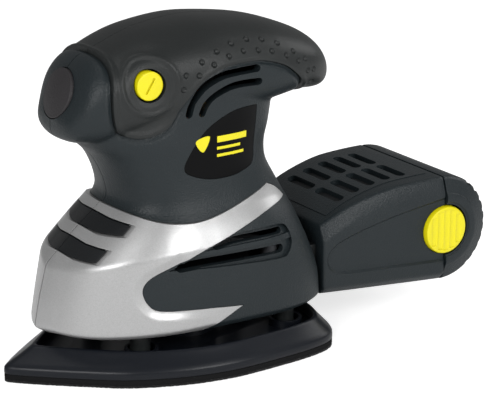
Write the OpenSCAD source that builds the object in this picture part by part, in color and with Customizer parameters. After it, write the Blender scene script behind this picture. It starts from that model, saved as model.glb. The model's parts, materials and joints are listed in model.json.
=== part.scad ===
// Detail sander with a pointed orbiting pad, a palm handle and a clip-on dust box.
// +X points to the dust box, +Z up; the motor axis is the Z axis and the sole lies on z = 0.

/* [Pad] */
// Length of the sanding pad, tip to tail
pad_l = 140; // [130:1:150]
// Widest part of the sanding pad
pad_w = 92; // [86:1:98]
// Distance from the motor axis back to the pad's tail
pad_tail = 58; // [54:1:60]
// Thickness of the hook layer
hook_t = 1.2; // [0.8:0.1:1.6]
// Thickness of the foam pad
foam_t = 3.6; // [3:0.1:4.2]
// Thickness of the platen's floor
platen_t = 3; // [2.4:0.1:3.6]
// Height of the platen's rim above its floor
rim_h = 5.4; // [4:0.1:6]
// Wall of the platen's rim
rim_wall = 2.4; // [2:0.1:3]

/* [Housing] */
// Width of the lower body
body_w = 76; // [72:1:84]
// Width of the neck
neck_w = 55.4; // [54:0.2:60]
// Width of the palm handle
handle_w = 59.2; // [54:0.2:66]
// Height of the highest point of the handle
handle_top = 141; // [138:1:150]
// Distance from the motor axis forward to the body's prow
prow = 66.2; // [62:0.2:70]
// Distance from the motor axis back to the flat collar
collar_x = 49; // [48:0.5:50]
// Distance from the motor axis back to the handle's end
handle_tail = 65.8; // [64:0.2:72]
// Distance from the motor axis forward to the handle's nose
handle_nose = 58.6; // [57:0.2:62]
// Height of the body's lower edge above the sole
body_z = 17; // [16.4:0.1:17.6]
// Thickness of the grips, fairings and badges
panel_t = 2; // [1.6:0.1:2.4]
// Wall of the shells under the panels
wall = 2.2; // [1.8:0.1:2.4]
// Ridge along the front of the body, as a share of its reach
keel = 0.14; // [0.05:0.01:0.2]

/* [Motor] */
// Outer radius of the stator core
stator_r = 20.5; // [19:0.1:21]
// Length of the stator core
stack_h = 30; // [24:1:34]
// Height of the stator core's lower face
stack_z = 63; // [62:0.5:66]
// Radius of the armature core
armature_r = 12; // [11:0.1:12.4]
// Air gap between armature and poles
air_gap = 0.5; // [0.4:0.1:0.8]
// Radius of the armature shaft
shaft_r = 4; // [3:0.1:4.4]
// Radius of the commutator
commutator_r = 9; // [8:0.1:9.6]
// Length of the commutator
commutator_h = 10; // [8:0.5:12]
// Radius of the fan
fan_r = 29; // [26:0.5:30]
// Number of fan blades
fan_blades = 12; // [8:1:16]
// Radius of the pad's orbit
orbit_r = 0.8; // [0.5:0.1:1.2]

/* [Bearings] */
// Outer radius of the bearings
bearing_r = 11; // [9.5:0.1:12]
// Width of the bearings
bearing_h = 7; // [5:0.5:8]

/* [Dust box] */
// Distance from the motor axis back to the box's front
box_x = 52.5; // [52.5:0.5:54]
// Length of the box body from its front to the end cap
box_l = 60.5; // [54:0.5:66]
// Width of the box at the end cap
box_w = 66; // [62:1:72]
// Width of the box at its front
box_front_w = 57; // [54:1:60]
// Width of the flat top panel
box_top_w = 51; // [48:1:54]
// Height of the top edge at the box's front
box_z1 = 48.5; // [47:0.5:50]
// Height of the top edge at the end cap
box_z2 = 62.5; // [58:0.5:66]
// Wall of the box and its cap
box_wall = 2; // [1.6:0.1:2.4]
// Radius of the latch buttons
latch_r = 10.5; // [9:0.1:11]
// Travel of the latch buttons
latch_travel = 2.5; // [2:0.1:3]

/* [Controls] */
// Radius of the nose switch's rubber boot
boot_r = 10.2; // [9:0.1:10.6]
// Travel of the nose switch
boot_travel = 2; // [1.5:0.1:2.5]
// Radius of the speed dial
dial_r = 5.8; // [5.2:0.1:6.4]
// Radius of the cord the inlet takes
cord_r = 3.3; // [3:0.1:3.6]

/* [Hidden] */
gap = 0.15;                 // between panels and the shells they lie in
slip = 0.3;                 // between pieces that move past each other
fit = 0.05;                 // radial clearance of a shaft in its bearing
big = 400;
$fn = 64;

// ---- outlines and lofts -------------------------------------------------------------------

function power(v, p) = sign(v) * pow(abs(v), 2 / p);

// A smooth closed curve through a few points, three steps to each
function blend(a, b, c, d, t) = 0.5 * (2 * b + (c - a) * t + (2 * a - 5 * b + 4 * c - d) * t * t
    + (3 * b - a - 3 * c + d) * t * t * t);
function smooth(p, steps = 3) = let (n = len(p)) [for (i = [0:n - 1]) for (k = [0:steps - 1])
    blend(p[(i + n - 1) % n], p[i], p[(i + 1) % n], p[(i + 2) % n], k / steps)];

// A level ring of the body: front x and z, rear x and z, crown, half width, widest x, two powers
ring_sides = 36;
function body_ring(r, d) = [for (i = [0:ring_sides - 1])
    let (t = 360 * (i + 0.5) / ring_sides, c = cos(t), s = sin(t))
    let (front = r[0] + d, rear = r[2] - d)
    let (x = c < 0 ? r[6] + (r[6] - front) * (power(c, r[7]) + keel * abs(s) * pow(1 - abs(s), 2))
        : r[6] + (rear - r[6]) * power(c, r[8]))
    let (u = (x - r[0]) / (r[2] - r[0]))
    [x, (r[5] - d) * power(s, c < 0 ? r[7] : r[8]), r[1] + (r[3] - r[1]) * u + 4 * r[4] * u * (1 - u)]];

// A cross-section of the handle: x, top, bottom, half width, power
section_sides = 28;
function handle_section(h, d) = [for (i = [0:section_sides - 1])
    let (t = 360 * (i + 0.5) / section_sides, half = max((h[1] - h[2]) / 2 - d, 0.5))
    [h[0] + (h[0] < 0 ? d : -d) * h[5], max(h[3] - d, 0.5) * power(cos(t), h[4]),
        (h[1] + h[2]) / 2 + half * power(sin(t), h[4])]];

half_b = body_w / 2;
half_n = neck_w / 2;
half_h = handle_w / 2;
body_rings = [
    [-prow + 3.7, body_z, 55.5, body_z + 1.5, 0, half_b - 1.8, 14, 2.3, 3],
    [-prow, body_z + 4.5, 57, body_z + 5, 0, half_b, 14, 2.3, 3.2],
    [-prow + 2, 31.5, 55, 33, 1, half_b + 0.4, 14, 2.3, 3.2],
    [-60.6, 45.3, 50, 46, 8, half_b - 0.6, 12, 2.4, 3],
    [-49, 56.4, 46.2, 57, 4, half_b - 3.8, 8, 2.5, 2.8],
    [-36, 67.6, 41.8, 67, 0, half_n + 2.7, 4, 2.7, 2.6],
    [-34.4, 72, 39.4, 72, 0, half_n + 1.2, 3, 2.8, 2.5],
    [-36.5, 80, 35.6, 80, 0, half_n, 1, 2.8, 2.4],
    [-41.2, 88.5, 35, 88, 0, half_n - 0.1, 0, 2.7, 2.4],
    [-48, 95.5, 37, 95.5, 0, half_n + 0.1, 0, 2.5, 2.4],
    [-50, 103, 41, 103, 0, half_n - 0.5, 0, 2.3, 2.4],
    [-40, 113, 40, 113, 0, half_n - 2.7, 0, 2.2, 2.4]];
top = handle_top;
handle_sections = [
    [-handle_nose, 106, 103, 6, 2, 1],
    [-handle_nose + 1.2, 109, 100.5, 12.5, 2.1, 1],
    [-handle_nose + 4.6, 117, 97.6, 17.6, 2.3, 1],
    [-handle_nose + 8, 125, 96, 20.8, 2.4, 0.6],
    [-46, 129.4, 95.6, 23.2, 2.5, 0],
    [-41, top - 9.7, 96, half_h - 4.4, 2.5, 0],
    [-31, top - 5.7, 97, half_h - 1.8, 2.5, 0],
    [-20, top - 2.2, 98, half_h - 0.6, 2.4, 0],
    [-2.5, top, 99, half_h, 2.4, 0],
    [12, top - 0.7, 100, half_h, 2.4, 0],
    [32, top - 3.8, 101, half_h - 0.6, 2.4, 0],
    [47, top - 8.6, 102.2, half_h - 3.4, 2.3, 0],
    [handle_tail - 10.8, top - 12.6, 102.4, half_h - 7, 2.3, 0],
    [handle_tail - 5.3, top - 17.4, 103.4, half_h - 12.1, 2.2, 0.6],
    [handle_tail - 1.6, top - 23.5, 106, half_h - 19.1, 2, 1],
    [handle_tail, top - 28, 109, half_h - 26.6, 2, 1]];

module loft(rings) {
    n = len(rings[0]);
    last = len(rings) - 1;
    sides = [for (j = [0:last - 1]) for (i = [0:n - 1])
        each [[j * n + i, (j + 1) * n + i, j * n + (i + 1) % n],
            [j * n + (i + 1) % n, (j + 1) * n + i, (j + 1) * n + (i + 1) % n]]];
    ends = [[for (i = [0:n - 1]) i], [for (i = [n - 1:-1:0]) last * n + i]];
    polyhedron(points = [for (r = rings) each r], faces = concat(sides, ends));
}

// The outer surface moved inwards by d, its lowest ring dropped a little where it is a mouth
module skin(d, drop = 0) {
    first = body_rings[0];
    mouth = [first[0], first[1] - drop, first[2], first[3] - drop, 0, first[5], first[6],
        first[7], first[8]];
    loft([body_ring(mouth, d), for (i = [1:len(body_rings) - 1]) body_ring(body_rings[i], d)]);
    loft([for (h = handle_sections) handle_section(h, d)]);
}

// An outline in the side view, cut right through the width
module side_prism(points, grow = 0) {
    rotate([90, 0, 0])
        linear_extrude(height = big, center = true)
            offset(delta = grow)
                polygon(points);
}

module half_space(side) {
    translate([-big / 2, side < 0 ? -big : 0, -big / 2])
        cube([big, big, big]);
}

// ---- side view outlines, x and z -----------------------------------------------------------

grip_outline = concat(
    [[90, 90], [90, 170], [-40.5, 170], [-41.5, 131]],
    [[-42, 127], [-43.6, 119], [-43.8, 112], [-42.6, 106], [-40, 102], [-36.5, 99.8], [-31, 98.8],
        [-25, 99.8], [-19, 103.4], [-14, 111.5], [-6, 119.6], [3.7, 124], [14, 125], [23, 124.4],
        [32.5, 121.3], [38, 117.5], [41.8, 114], [44.6, 110], [46.6, 105.5], [47.5, 100], [48, 90]]);

arm_top = [[-36, 68], [-26, 65], [-17.5, 63.8], [-8, 63.8], [3.6, 66], [16.5, 69.6], [26.6, 72.3]];
arm_end = [[32, 69.5], [36.5, 65]];
arm_low = [[24, 63.2], [13, 60.2], [0.6, 56.2], [-10.7, 52.8], [-21, 48.8], [-30.3, 45]];
bay = [[-34.5, 41.8], [-35.6, 38], [-33.8, 33.4], [-29.3, 30.2], [-16, 29], [-6, 28.4], [7, 27.3]];
toe = [[0, 23.6], [-6, 20.4], [-11, 17.5], [-13, 10], [-90, 10], [-90, 45], [-62, 68], [-50, 72]];
fairing_outline = concat(arm_top, arm_end, arm_low, bay, toe);

// Black bars of the shells that show through slots in the fairing, as centre height and x of each end
bar_upper = [[-62, 80.5], [-39.4, 64.8], [-34.5, 63.6], [-38.8, 59.7], [-45.6, 59.3], [-66, 75]];
bar_lower = [[-70, 72.8], [-49.8, 55.6], [-45, 54.8], [-50.6, 49.9], [-55.6, 50], [-72, 64]];

badge_outline = smooth([[20.5, 106], [21.8, 104], [20.6, 92], [20, 82.6], [14, 79.8], [6, 78.6],
    [-3, 79], [-11, 81.6], [-13.6, 84.4], [-12, 89], [-6, 97.4], [1, 102.4], [10, 105.8]], 2);

dial_at = [-28.2, 120.2];
boot_tilt = 20;
boot_at = [-55.4, 115.8];

// ---- shells ----------------------------------------------------------------------------------

panel_bed = panel_t + gap;
inner = panel_bed + wall;
mouth_drop = 1.2;
screw_spots = [[-50, 34], [38, 52], [-27.6, 76], [29.4, 76], [45, 122.6], [-31, 108]];
screw_r = 1.5;
screw_head_r = 2.8;
screw_seat = 15;
screw_tip = 9;
boss_r = 3.2;
gland_r = 5;

module across(x, z) {
    translate([x, 0, z])
        rotate([90, 0, 0])
            children();
}

module bosses() {
    intersection() {
        skin(panel_bed + 0.4);
        for (p = screw_spots)
            across(p[0], p[1])
                cylinder(r = boss_r, h = big, center = true, $fn = 24);
    }
}

// The nose switch's own axes: +Z here points out of the nose
module at_nose() {
    translate([boot_at[0], 0, boot_at[1]])
        rotate([0, -90 + boot_tilt, 0])
            children();
}

// A band that follows a side view curve, for slots in the neck
module curved_slot(points, r) {
    for (i = [0:len(points) - 2])
        hull() {
            translate(points[i])
                circle(r = r, $fn = 16);
            translate(points[i + 1])
                circle(r = r, $fn = 16);
        }
}

slot_outer = [[-11, 107], [-8.4, 112.4], [-4.6, 117], [1.6, 120], [9, 121.3], [18.6, 121.6]];
slot_inner = [[-5, 107], [-2.4, 110.6], [1.4, 113.6], [6.8, 115.6], [13, 116.4], [19, 116.2]];

module vents() {
    rotate([90, 0, 0])
        linear_extrude(height = big, center = true) {
            curved_slot(slot_outer, 1.5);
            curved_slot(slot_inner, 1.5);
        }
    across(0, 0)
        linear_extrude(height = big, center = true) {
            hull() {
                translate([2, 54.4])
                    circle(r = 1.6, $fn = 16);
                translate([26, 54.6])
                    circle(r = 1.6, $fn = 16);
            }
            hull() {
                translate([-14, 48.2])
                    circle(r = 1.4, $fn = 16);
                translate([26.4, 47.6])
                    circle(r = 1.8, $fn = 16);
            }
        }
}

collar_top = 47.8;
duct_w = 42;
duct_z = 21.5;
duct_h = 17.5;
inlet_z = 112.6;

module shell(side) {
    difference() {
        union() {
            difference() {
                union() {
                    skin(panel_bed);
                    difference() {
                        skin(0);
                        side_prism(grip_outline);
                        difference() {
                            side_prism(fairing_outline);
                            side_prism(bar_upper, -gap);
                            side_prism(bar_lower, -gap);
                        }
                        side_prism(badge_outline);
                    }
                }
                skin(inner, mouth_drop);
            }
            bosses();
        }
        half_space(-side);
        vents();
        for (p = screw_spots) {
            across(p[0], p[1])
                translate([0, 0, -big])
                    cylinder(r = screw_r + gap, h = big + screw_tip + 1, $fn = 20);
            across(p[0], p[1])
                translate([0, 0, -big - screw_seat])
                    cylinder(r = screw_head_r + gap, h = big, $fn = 20);
        }
        translate([collar_x, -big / 2, -big / 2])
            cube([big, big, big / 2 + collar_top]);
        translate([30, -duct_w / 2 - slip, duct_z - slip])
            cube([big, duct_w + 2 * slip, duct_h + 2 * slip]);
        at_nose()
            translate([0, 0, -12])
                cylinder(r = boot_r + slip, h = 40, $fn = 40);
        if (side < 0)
            across(dial_at[0], dial_at[1])
                cylinder(r = dial_r + slip, h = big, $fn = 32);
        translate([handle_tail - 20, 0, inlet_z])
            rotate([0, 90, 0])
                cylinder(r = gland_r + gap, h = big, $fn = 32);
    }
}
module housing_left() {
    color("DarkSlateGray")
        shell(-1);
}

module housing_right() {
    color("DarkSlateGray")
        shell(1);
}

module panel(side, thick) {
    intersection() {
        difference() {
            skin(0);
            skin(thick, mouth_drop);
        }
        half_space(side);
        children();
    }
}

module grip(side) {
    resize([0, 0, 0])
        difference() {
            panel(side, panel_t)
                side_prism(grip_outline, -gap);
            if (side < 0)
                across(dial_at[0], dial_at[1])
                    cylinder(r = dial_r + slip, h = big, $fn = 32);
            for (p = screw_spots)
                if (side > 0)
                    across(p[0], p[1])
                        cylinder(r = screw_head_r + gap, h = big, center = true, $fn = 20);
            translate([handle_tail - 20, 0, inlet_z])
                rotate([0, 90, 0])
                    cylinder(r = gland_r + gap, h = big, $fn = 32);
        }
}

module fairing(side) {
    resize([0, 0, 0])
        difference() {
            panel(side, panel_t)
                side_prism(fairing_outline, -gap);
            side_prism(bar_upper);
            side_prism(bar_lower);
            if (side > 0)
                for (p = screw_spots)
                    across(p[0], p[1])
                        cylinder(r = screw_head_r + gap, h = big, center = true, $fn = 20);
        }
}

module grip_left() {
    color("DimGray")
        grip(-1);
}

module grip_right() {
    color("DimGray")
        grip(1);
}

module fairing_left() {
    color("Silver")
        fairing(-1);
}

module fairing_right() {
    color("Silver")
        fairing(1);
}

module badge_left() {
    color("Black")
        resize([0, 0, 0])
            panel(-1, panel_t)
                side_prism(badge_outline, -gap);
}

module badge_right() {
    color("Black")
        resize([0, 0, 0])
            panel(1, panel_t)
                side_prism(badge_outline, -gap);
}

// ---- motor ---------------------------------------------------------------------------------

hub_floor_z = hook_t + foam_t;
tray_z = hub_floor_z + platen_t;
ecc_bearing_z = tray_z + 2.1;
hub_top = ecc_bearing_z + bearing_h + 0.3;
hub_r = bearing_r + 3;
retainer_t = 1.5;
block_z = hub_top + retainer_t + 0.6;
block_h = 7.4;
weight_r = 24;
fan_z = block_z + block_h + 2.2;
fan_h = 13;
bracket_z = fan_z + fan_h + 4;
low_bearing_z = bracket_z + 2;
cradle_top = low_bearing_z + bearing_h + 0.6;
stack_top = stack_z + stack_h;
plate_z = stack_top + 4.6;
plate_t = 2.7;
holder_z = plate_z + plate_t;
holder_w = 7.4;
holder_h = 10.4;
brush_w = 5;
brush_h = 8;
brush_z = holder_z + holder_h / 2;
commutator_z = brush_z - commutator_h / 2;
high_bearing_z = commutator_z + commutator_h + 4;
bridge_z = high_bearing_z - 2;
bridge_top = high_bearing_z + bearing_h;
shaft_top = bridge_top - 0.5;

module tube(r1, r2, h) {
    difference() {
        cylinder(r = r1, h = h);
        translate([0, 0, -1])
            cylinder(r = r2, h = h + 2);
    }
}

// A pie slice of a disc, half angle a about +X, up to 180 degrees wide
module slice(r, a, h) {
    intersection() {
        cylinder(r = r, h = h);
        linear_extrude(height = h)
            polygon([
                [0, 0],
                [2 * r * cos(a), -2 * r * sin(a)],
                [3 * r, 0],
                [2 * r * cos(a), 2 * r * sin(a)]
            ]);
    }
}

pole_angle = 38;
coil_angle = 86;
yoke_r = stator_r - 3.4;
bore_r = armature_r + air_gap;

module stator_core() {
    color("SlateGray")
        translate([0, 0, stack_z])
            difference() {
                union() {
                    tube(stator_r, yoke_r, stack_h);
                    for (turn = [0, 180])
                        rotate([0, 0, turn])
                            slice(yoke_r + 0.4, pole_angle, stack_h);
                }
                translate([0, 0, -1])
                    cylinder(r = bore_r, h = stack_h + 2);
            }
}

coil_reach = 4.2;

module field_coils() {
    color("Peru")
        for (turn = [0, 180])
            rotate([0, 0, turn])
                difference() {
                    translate([0, 0, stack_z - coil_reach])
                        slice(yoke_r - 0.3, coil_angle, stack_h + 2 * coil_reach);
                    translate([0, 0, stack_z - coil_reach - 1])
                        cylinder(r = bore_r + 0.7, h = stack_h + 2 * coil_reach + 2);
                    translate([0, 0, stack_z])
                        slice(yoke_r + 1, pole_angle + 2.5, stack_h);
                }
}

slots = 10;
slot_w = 2.6;

module winding_slots(w, inner_r) {
    for (i = [0:slots - 1])
        rotate([0, 0, 360 * i / slots])
            translate([inner_r, -w / 2, 0])
                cube([armature_r - inner_r - 0.8, w, stack_h]);
}

module armature_core() {
    color("LightSteelBlue")
        translate([0, 0, stack_z])
            difference() {
                cylinder(r = armature_r, h = stack_h);
                translate([0, 0, -1])
                    cylinder(r = shaft_r, h = stack_h + 2);
                winding_slots(slot_w, 7);
            }
}

module armature_windings() {
    bundle = 3.6;
    color("Chocolate")
        translate([0, 0, stack_z]) {
            winding_slots(slot_w, 7);
            for (z = [-bundle, stack_h])
                translate([0, 0, z])
                    tube(armature_r - 0.8, 6.4, bundle);
        }
}

module commutator() {
    color("Goldenrod")
        translate([0, 0, commutator_z])
            difference() {
                cylinder(r = commutator_r, h = commutator_h);
                translate([0, 0, -1])
                    cylinder(r = shaft_r, h = commutator_h + 2);
                for (i = [0:2 * slots - 1])
                    rotate([0, 0, 180 * i / slots])
                        translate([commutator_r - 0.8, -0.25, 1.2])
                            cube([2, 0.5, commutator_h]);
            }
}

module armature_shaft() {
    color("Gainsboro")
        translate([0, 0, block_z + 1.4])
            cylinder(r = shaft_r, h = shaft_top - block_z - 1.4);
}

module bearing(z) {
    color("LightGray")
        translate([0, 0, z])
            difference() {
                cylinder(r = bearing_r, h = bearing_h);
                translate([0, 0, -1])
                    cylinder(r = shaft_r + fit, h = bearing_h + 2);
                for (face = [-0.6, bearing_h - 0.4])
                    translate([0, 0, face])
                        tube(bearing_r - 1.6, shaft_r + 1.6, 1);
            }
}

module upper_bearing() {
    bearing(high_bearing_z);
}

module lower_bearing() {
    bearing(low_bearing_z);
}

leg_spots = [[-40, 16], [-40, -16], [26, 28], [26, -28]];
leg_r = 3.4;
cover_z = body_z + 1.6;
cover_t = 2.4;

module motor_bracket() {
    plate = 3.5;
    color("DarkGray")
        difference() {
            union() {
                translate([0, 0, bracket_z])
                    cylinder(r = 22, h = plate);
                translate([0, 0, bracket_z])
                    cylinder(r = hub_r, h = cradle_top - bracket_z);
                for (p = leg_spots) {
                    translate([p[0], p[1], cover_z + cover_t])
                        cylinder(r = leg_r, h = bracket_z + plate - cover_z - cover_t);
                    translate([0, 0, bracket_z])
                        rotate([0, 0, atan2(p[1], p[0])])
                            translate([18, -3, 0])
                                cube([norm(p) - 18, 6, plate]);
                }
                for (turn = [45:90:315])
                    rotate([0, 0, turn])
                        translate([stator_r - 1.6, 0, bracket_z])
                            cylinder(r = 1.6, h = stack_z - bracket_z);
            }
            translate([0, 0, low_bearing_z])
                cylinder(r = bearing_r + 0.02, h = big);
            translate([0, 0, bracket_z - 1])
                cylinder(r = shaft_r + 2.4, h = big);
            for (p = leg_spots)
                translate([p[0], p[1], cover_z])
                    cylinder(r = screw_r, h = 12);
        }
}

module brush_plate() {
    pillar_x = 17.4;
    color("SaddleBrown")
        difference() {
            union() {
                translate([0, 0, plate_z])
                    tube(stator_r, bore_r, plate_t);
                for (turn = [45:90:315])
                    rotate([0, 0, turn])
                        translate([stator_r - 1.6, 0, stack_top])
                            cylinder(r = 1.6, h = plate_z - stack_top + 1);
                for (side = [-1, 1])
                    translate([side * pillar_x, 0, plate_z])
                        cylinder(r = 3, h = bridge_z - plate_z + 3);
                translate([-pillar_x, -3, bridge_z])
                    cube([2 * pillar_x, 6, 3]);
                translate([0, 0, bridge_z])
                    cylinder(r = hub_r, h = bridge_top - bridge_z);
            }
            translate([0, 0, high_bearing_z])
                cylinder(r = bearing_r + 0.02, h = big);
            translate([0, 0, bridge_z - 1])
                cylinder(r = shaft_r + 2.4, h = big);
        }
}

brush_reach = commutator_r + 0.15;
holder_start = commutator_r + 1.2;
holder_l = 10.6;

module brush_holder(side) {
    color("BurlyWood")
        scale([1, side, 1])
            difference() {
                translate([-holder_w / 2, holder_start, brush_z - holder_h / 2])
                    cube([holder_w, holder_l, holder_h]);
                translate([-brush_w / 2 - 0.1, holder_start - 1, brush_z - brush_h / 2 - 0.1])
                    cube([brush_w + 0.2, holder_l, brush_h + 0.2]);
            }
}

module brush_holder_left() {
    brush_holder(-1);
}

module brush_holder_right() {
    brush_holder(1);
}

brush_l = 6;

module carbon_brush(side) {
    color("DimGray")
        scale([1, side, 1])
            translate([-brush_w / 2, brush_reach, brush_z - brush_h / 2])
                cube([brush_w, brush_l, brush_h]);
}

module carbon_brush_left() {
    carbon_brush(-1);
}

module carbon_brush_right() {
    carbon_brush(1);
}

module brush_springs() {
    back = holder_start + holder_l - 1;
    color("Silver")
        for (side = [-1, 1])
            scale([1, side, 1])
                translate([0, back, brush_z])
                    rotate([90, 0, 0])
                        tube(2.1, 1.5, back - brush_reach - brush_l);
}

module fan() {
    hub = 9;
    back_t = 1.5;
    color("Black")
        translate([0, 0, fan_z])
            difference() {
                union() {
                    cylinder(r = hub, h = fan_h + 2);
                    translate([0, 0, fan_h - back_t])
                        cylinder(r = fan_r, h = back_t);
                    for (i = [0:fan_blades - 1])
                        rotate([0, 0, 360 * i / fan_blades])
                            translate([hub - 1, 0, 0])
                                rotate([0, 0, 20])
                                    cube([fan_r - hub - 2, 1.4, fan_h]);
                }
                translate([0, 0, -1])
                    cylinder(r = shaft_r, h = fan_h + 5);
            }
}

pin_r = shaft_r;
screw_core = 2;
washer_t = 1.1;

module counterweight() {
    color("Gray")
        difference() {
            union() {
                translate([0, 0, block_z])
                    cylinder(r = 11, h = block_h);
                translate([0, 0, block_z + 0.6])
                    rotate([0, 0, 180])
                        slice(weight_r, 62, block_h - 0.6);
                translate([orbit_r, 0, ecc_bearing_z - 0.2])
                    cylinder(r = pin_r, h = block_z - ecc_bearing_z + 1);
            }
            translate([0, 0, block_z + 1.4])
                cylinder(r = shaft_r, h = block_h);
            translate([orbit_r, 0, 0])
                cylinder(r = screw_core, h = block_z + 0.9);
        }
}

module spindle_screw() {
    head = 1.9;
    head_z = ecc_bearing_z - 0.2 - washer_t - head;
    color("Silver")
        translate([orbit_r, 0, head_z])
            difference() {
                union() {
                    cylinder(r = 3.6, h = head);
                    cylinder(r = screw_core, h = head + washer_t + 8);
                }
                translate([0, 0, -0.1])
                    cylinder(r = 1.7, h = 1.4, $fn = 6);
            }
}
module spindle_washer() {
    color("LightGray")
        translate([orbit_r, 0, ecc_bearing_z - 0.2 - washer_t])
            tube(6.4, screw_core + 0.1, washer_t);
}

module eccentric_bearing() {
    translate([orbit_r, 0, 0])
        bearing(ecc_bearing_z);
}

// ---- pad -------------------------------------------------------------------------------------

pad_tip = pad_tail - pad_l;
pad_half = pad_w / 2;
pad_edge = [[0, 0], [0.02, 0.085], [0.075, 0.24], [0.18, 0.51], [0.285, 0.745], [0.43, 0.925],
    [0.57, 1], [0.715, 0.985], [0.86, 0.935], [0.945, 0.83], [0.985, 0.6], [1, 0.28]];
pad_line = smooth(concat(
    [for (p = pad_edge) [pad_tip + pad_l * p[0], -pad_half * p[1]]],
    [for (i = [len(pad_edge) - 1:-1:1]) [pad_tip + pad_l * pad_edge[i][0], pad_half * pad_edge[i][1]]]), 2);

// The pad's outline drawn in by a margin at the tip and another at the sides and tail
function pad_ring(tip_in, side_in, z) = [for (p = pad_line)
    let (u = (p[0] - pad_tip) / pad_l)
    [p[0] + tip_in * (1 - u) * (1 - u) - side_in * u * u, p[1] * (1 - side_in / pad_half), z]];

module hook_layer() {
    color("Black")
        linear_extrude(height = hook_t)
            polygon(pad_line);
}

module foam_pad() {
    color("DimGray")
        translate([0, 0, hook_t])
            linear_extrude(height = foam_t)
                polygon(pad_line);
}

rim_z = tray_z + rim_h;
post_spots = [[-31, 20], [-31, -20], [37.6, 21], [37.6, -21]];
post_r = 4.2;
cup_r = post_r + orbit_r + 0.7;
retainer_spots = [90, 210, 330];

module platen() {
    color("Black")
        difference() {
            union() {
                difference() {
                    loft([pad_ring(0, 0, hub_floor_z), pad_ring(1.2, 0.4, hub_floor_z + 2),
                        pad_ring(13, 5.6, rim_z)]);
                    loft([pad_ring(9 + rim_wall, 3 + rim_wall, tray_z),
                        pad_ring(16 + rim_wall, 6.6 + rim_wall, rim_z + 2)]);
                }
                translate([orbit_r, 0, tray_z - 1])
                    cylinder(r = hub_r, h = hub_top - tray_z + 1);
                for (p = post_spots)
                    translate([p[0] + orbit_r, p[1], tray_z - 1])
                        cylinder(r = cup_r + 1.4, h = 4);
                for (turn = [30:60:330])
                    rotate([0, 0, turn])
                        translate([hub_r - 1, -0.9, tray_z - 1])
                            cube([12, 1.8, 3.4]);
            }
            translate([orbit_r, 0, ecc_bearing_z])
                cylinder(r = bearing_r + 0.02, h = big);
            translate([orbit_r, 0, 0])
                cylinder(r = 7.6, h = big);
            for (p = post_spots)
                translate([p[0] + orbit_r, p[1], tray_z])
                    cylinder(r = cup_r, h = big);
            for (turn = retainer_spots)
                translate([orbit_r, 0, hub_top - 5])
                    rotate([0, 0, turn])
                        translate([hub_r - 1.6, 0, 0])
                            cylinder(r = 0.9, h = 6);
        }
}

retainer_hole = bearing_r - 2.4;

module bearing_retainer() {
    color("Silver")
        translate([orbit_r, 0, hub_top])
            difference() {
                tube(hub_r, retainer_hole, retainer_t);
                for (turn = retainer_spots)
                    rotate([0, 0, turn])
                        translate([hub_r - 1.6, 0, -1])
                            cylinder(r = 1, h = 4);
            }
}

module platen_screws() {
    color("Silver")
        for (turn = retainer_spots)
            translate([orbit_r, 0, hub_top - 4])
                rotate([0, 0, turn])
                    translate([hub_r - 1.6, 0, 0])
                        cylinder(r = 0.9, h = 4 + retainer_t);
}

module flex_posts() {
    color("DarkSlateGray")
        for (p = post_spots)
            translate([p[0], p[1], tray_z + slip])
                cylinder(r = post_r, h = cover_z - tray_z - slip);
}

module base_cover() {
    ring = [for (p = body_ring(body_rings[0], inner + slip + 0.4)) [min(p[0], collar_x - 2), p[1]]];
    color("DarkSlateGray")
        translate([0, 0, cover_z])
            difference() {
                linear_extrude(height = cover_t)
                    polygon(ring);
                translate([0, 0, -1])
                    cylinder(r = weight_r + 1.6, h = cover_t + 2);
                for (p = leg_spots)
                    translate([p[0], p[1], -1])
                        cylinder(r = screw_r + gap, h = cover_t + 2);
            }
}

module base_cover_screws() {
    color("Silver")
        for (p = leg_spots)
            translate([p[0], p[1], cover_z]) {
                translate([0, 0, -1.6])
                    cylinder(r = screw_head_r, h = 1.6);
                cylinder(r = screw_r, h = 11);
            }
}

module housing_screws() {
    color("Silver")
        for (p = screw_spots)
            across(p[0], p[1]) {
                translate([0, 0, -screw_seat - 2])
                    cylinder(r = screw_head_r, h = 2);
                translate([0, 0, -screw_seat])
                    cylinder(r = screw_r, h = screw_seat + screw_tip);
            }
}

// ---- controls and cord inlet -------------------------------------------------------------------

boot_h = 5;
crown = 1.1;

module switch_boot() {
    crown_r = (boot_r * boot_r + crown * crown) / (2 * crown);
    color("DimGray")
        at_nose()
            translate([0, 0, -boot_h])
                intersection() {
                    cylinder(r = boot_r, h = boot_h + crown);
                    translate([0, 0, boot_h + crown - crown_r])
                        sphere(r = crown_r, $fn = 128);
                }
}

plunger_r = 3;
switch_gap = 4.2;
switch_l = 12.6;

module switch_plunger() {
    color("Ivory")
        at_nose()
            translate([0, 0, -boot_h - switch_gap - 3])
                cylinder(r = plunger_r, h = switch_gap + 3);
}

module switch_body() {
    color("Black")
        at_nose()
            difference() {
                translate([-7, -9, -boot_h - switch_gap - switch_l])
                    cube([14, 18, switch_l]);
                translate([0, 0, -boot_h - switch_gap - 6])
                    cylinder(r = plunger_r + slip, h = 10);
            }
}

dial_face = half_h - 3;
dial_depth = 9;

module speed_dial() {
    color("Yellow")
        across(dial_at[0], dial_at[1])
            translate([0, 0, dial_face - dial_depth])
                difference() {
                    union() {
                        cylinder(r = dial_r, h = dial_depth);
                        translate([0, 0, -3.8])
                            cylinder(r = 2, h = 4);
                    }
                    rotate([0, 0, -30])
                        translate([-0.6, -dial_r + 1, dial_depth - 1])
                            cube([1.2, 2 * dial_r - 2, 2]);
                }
}

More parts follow.
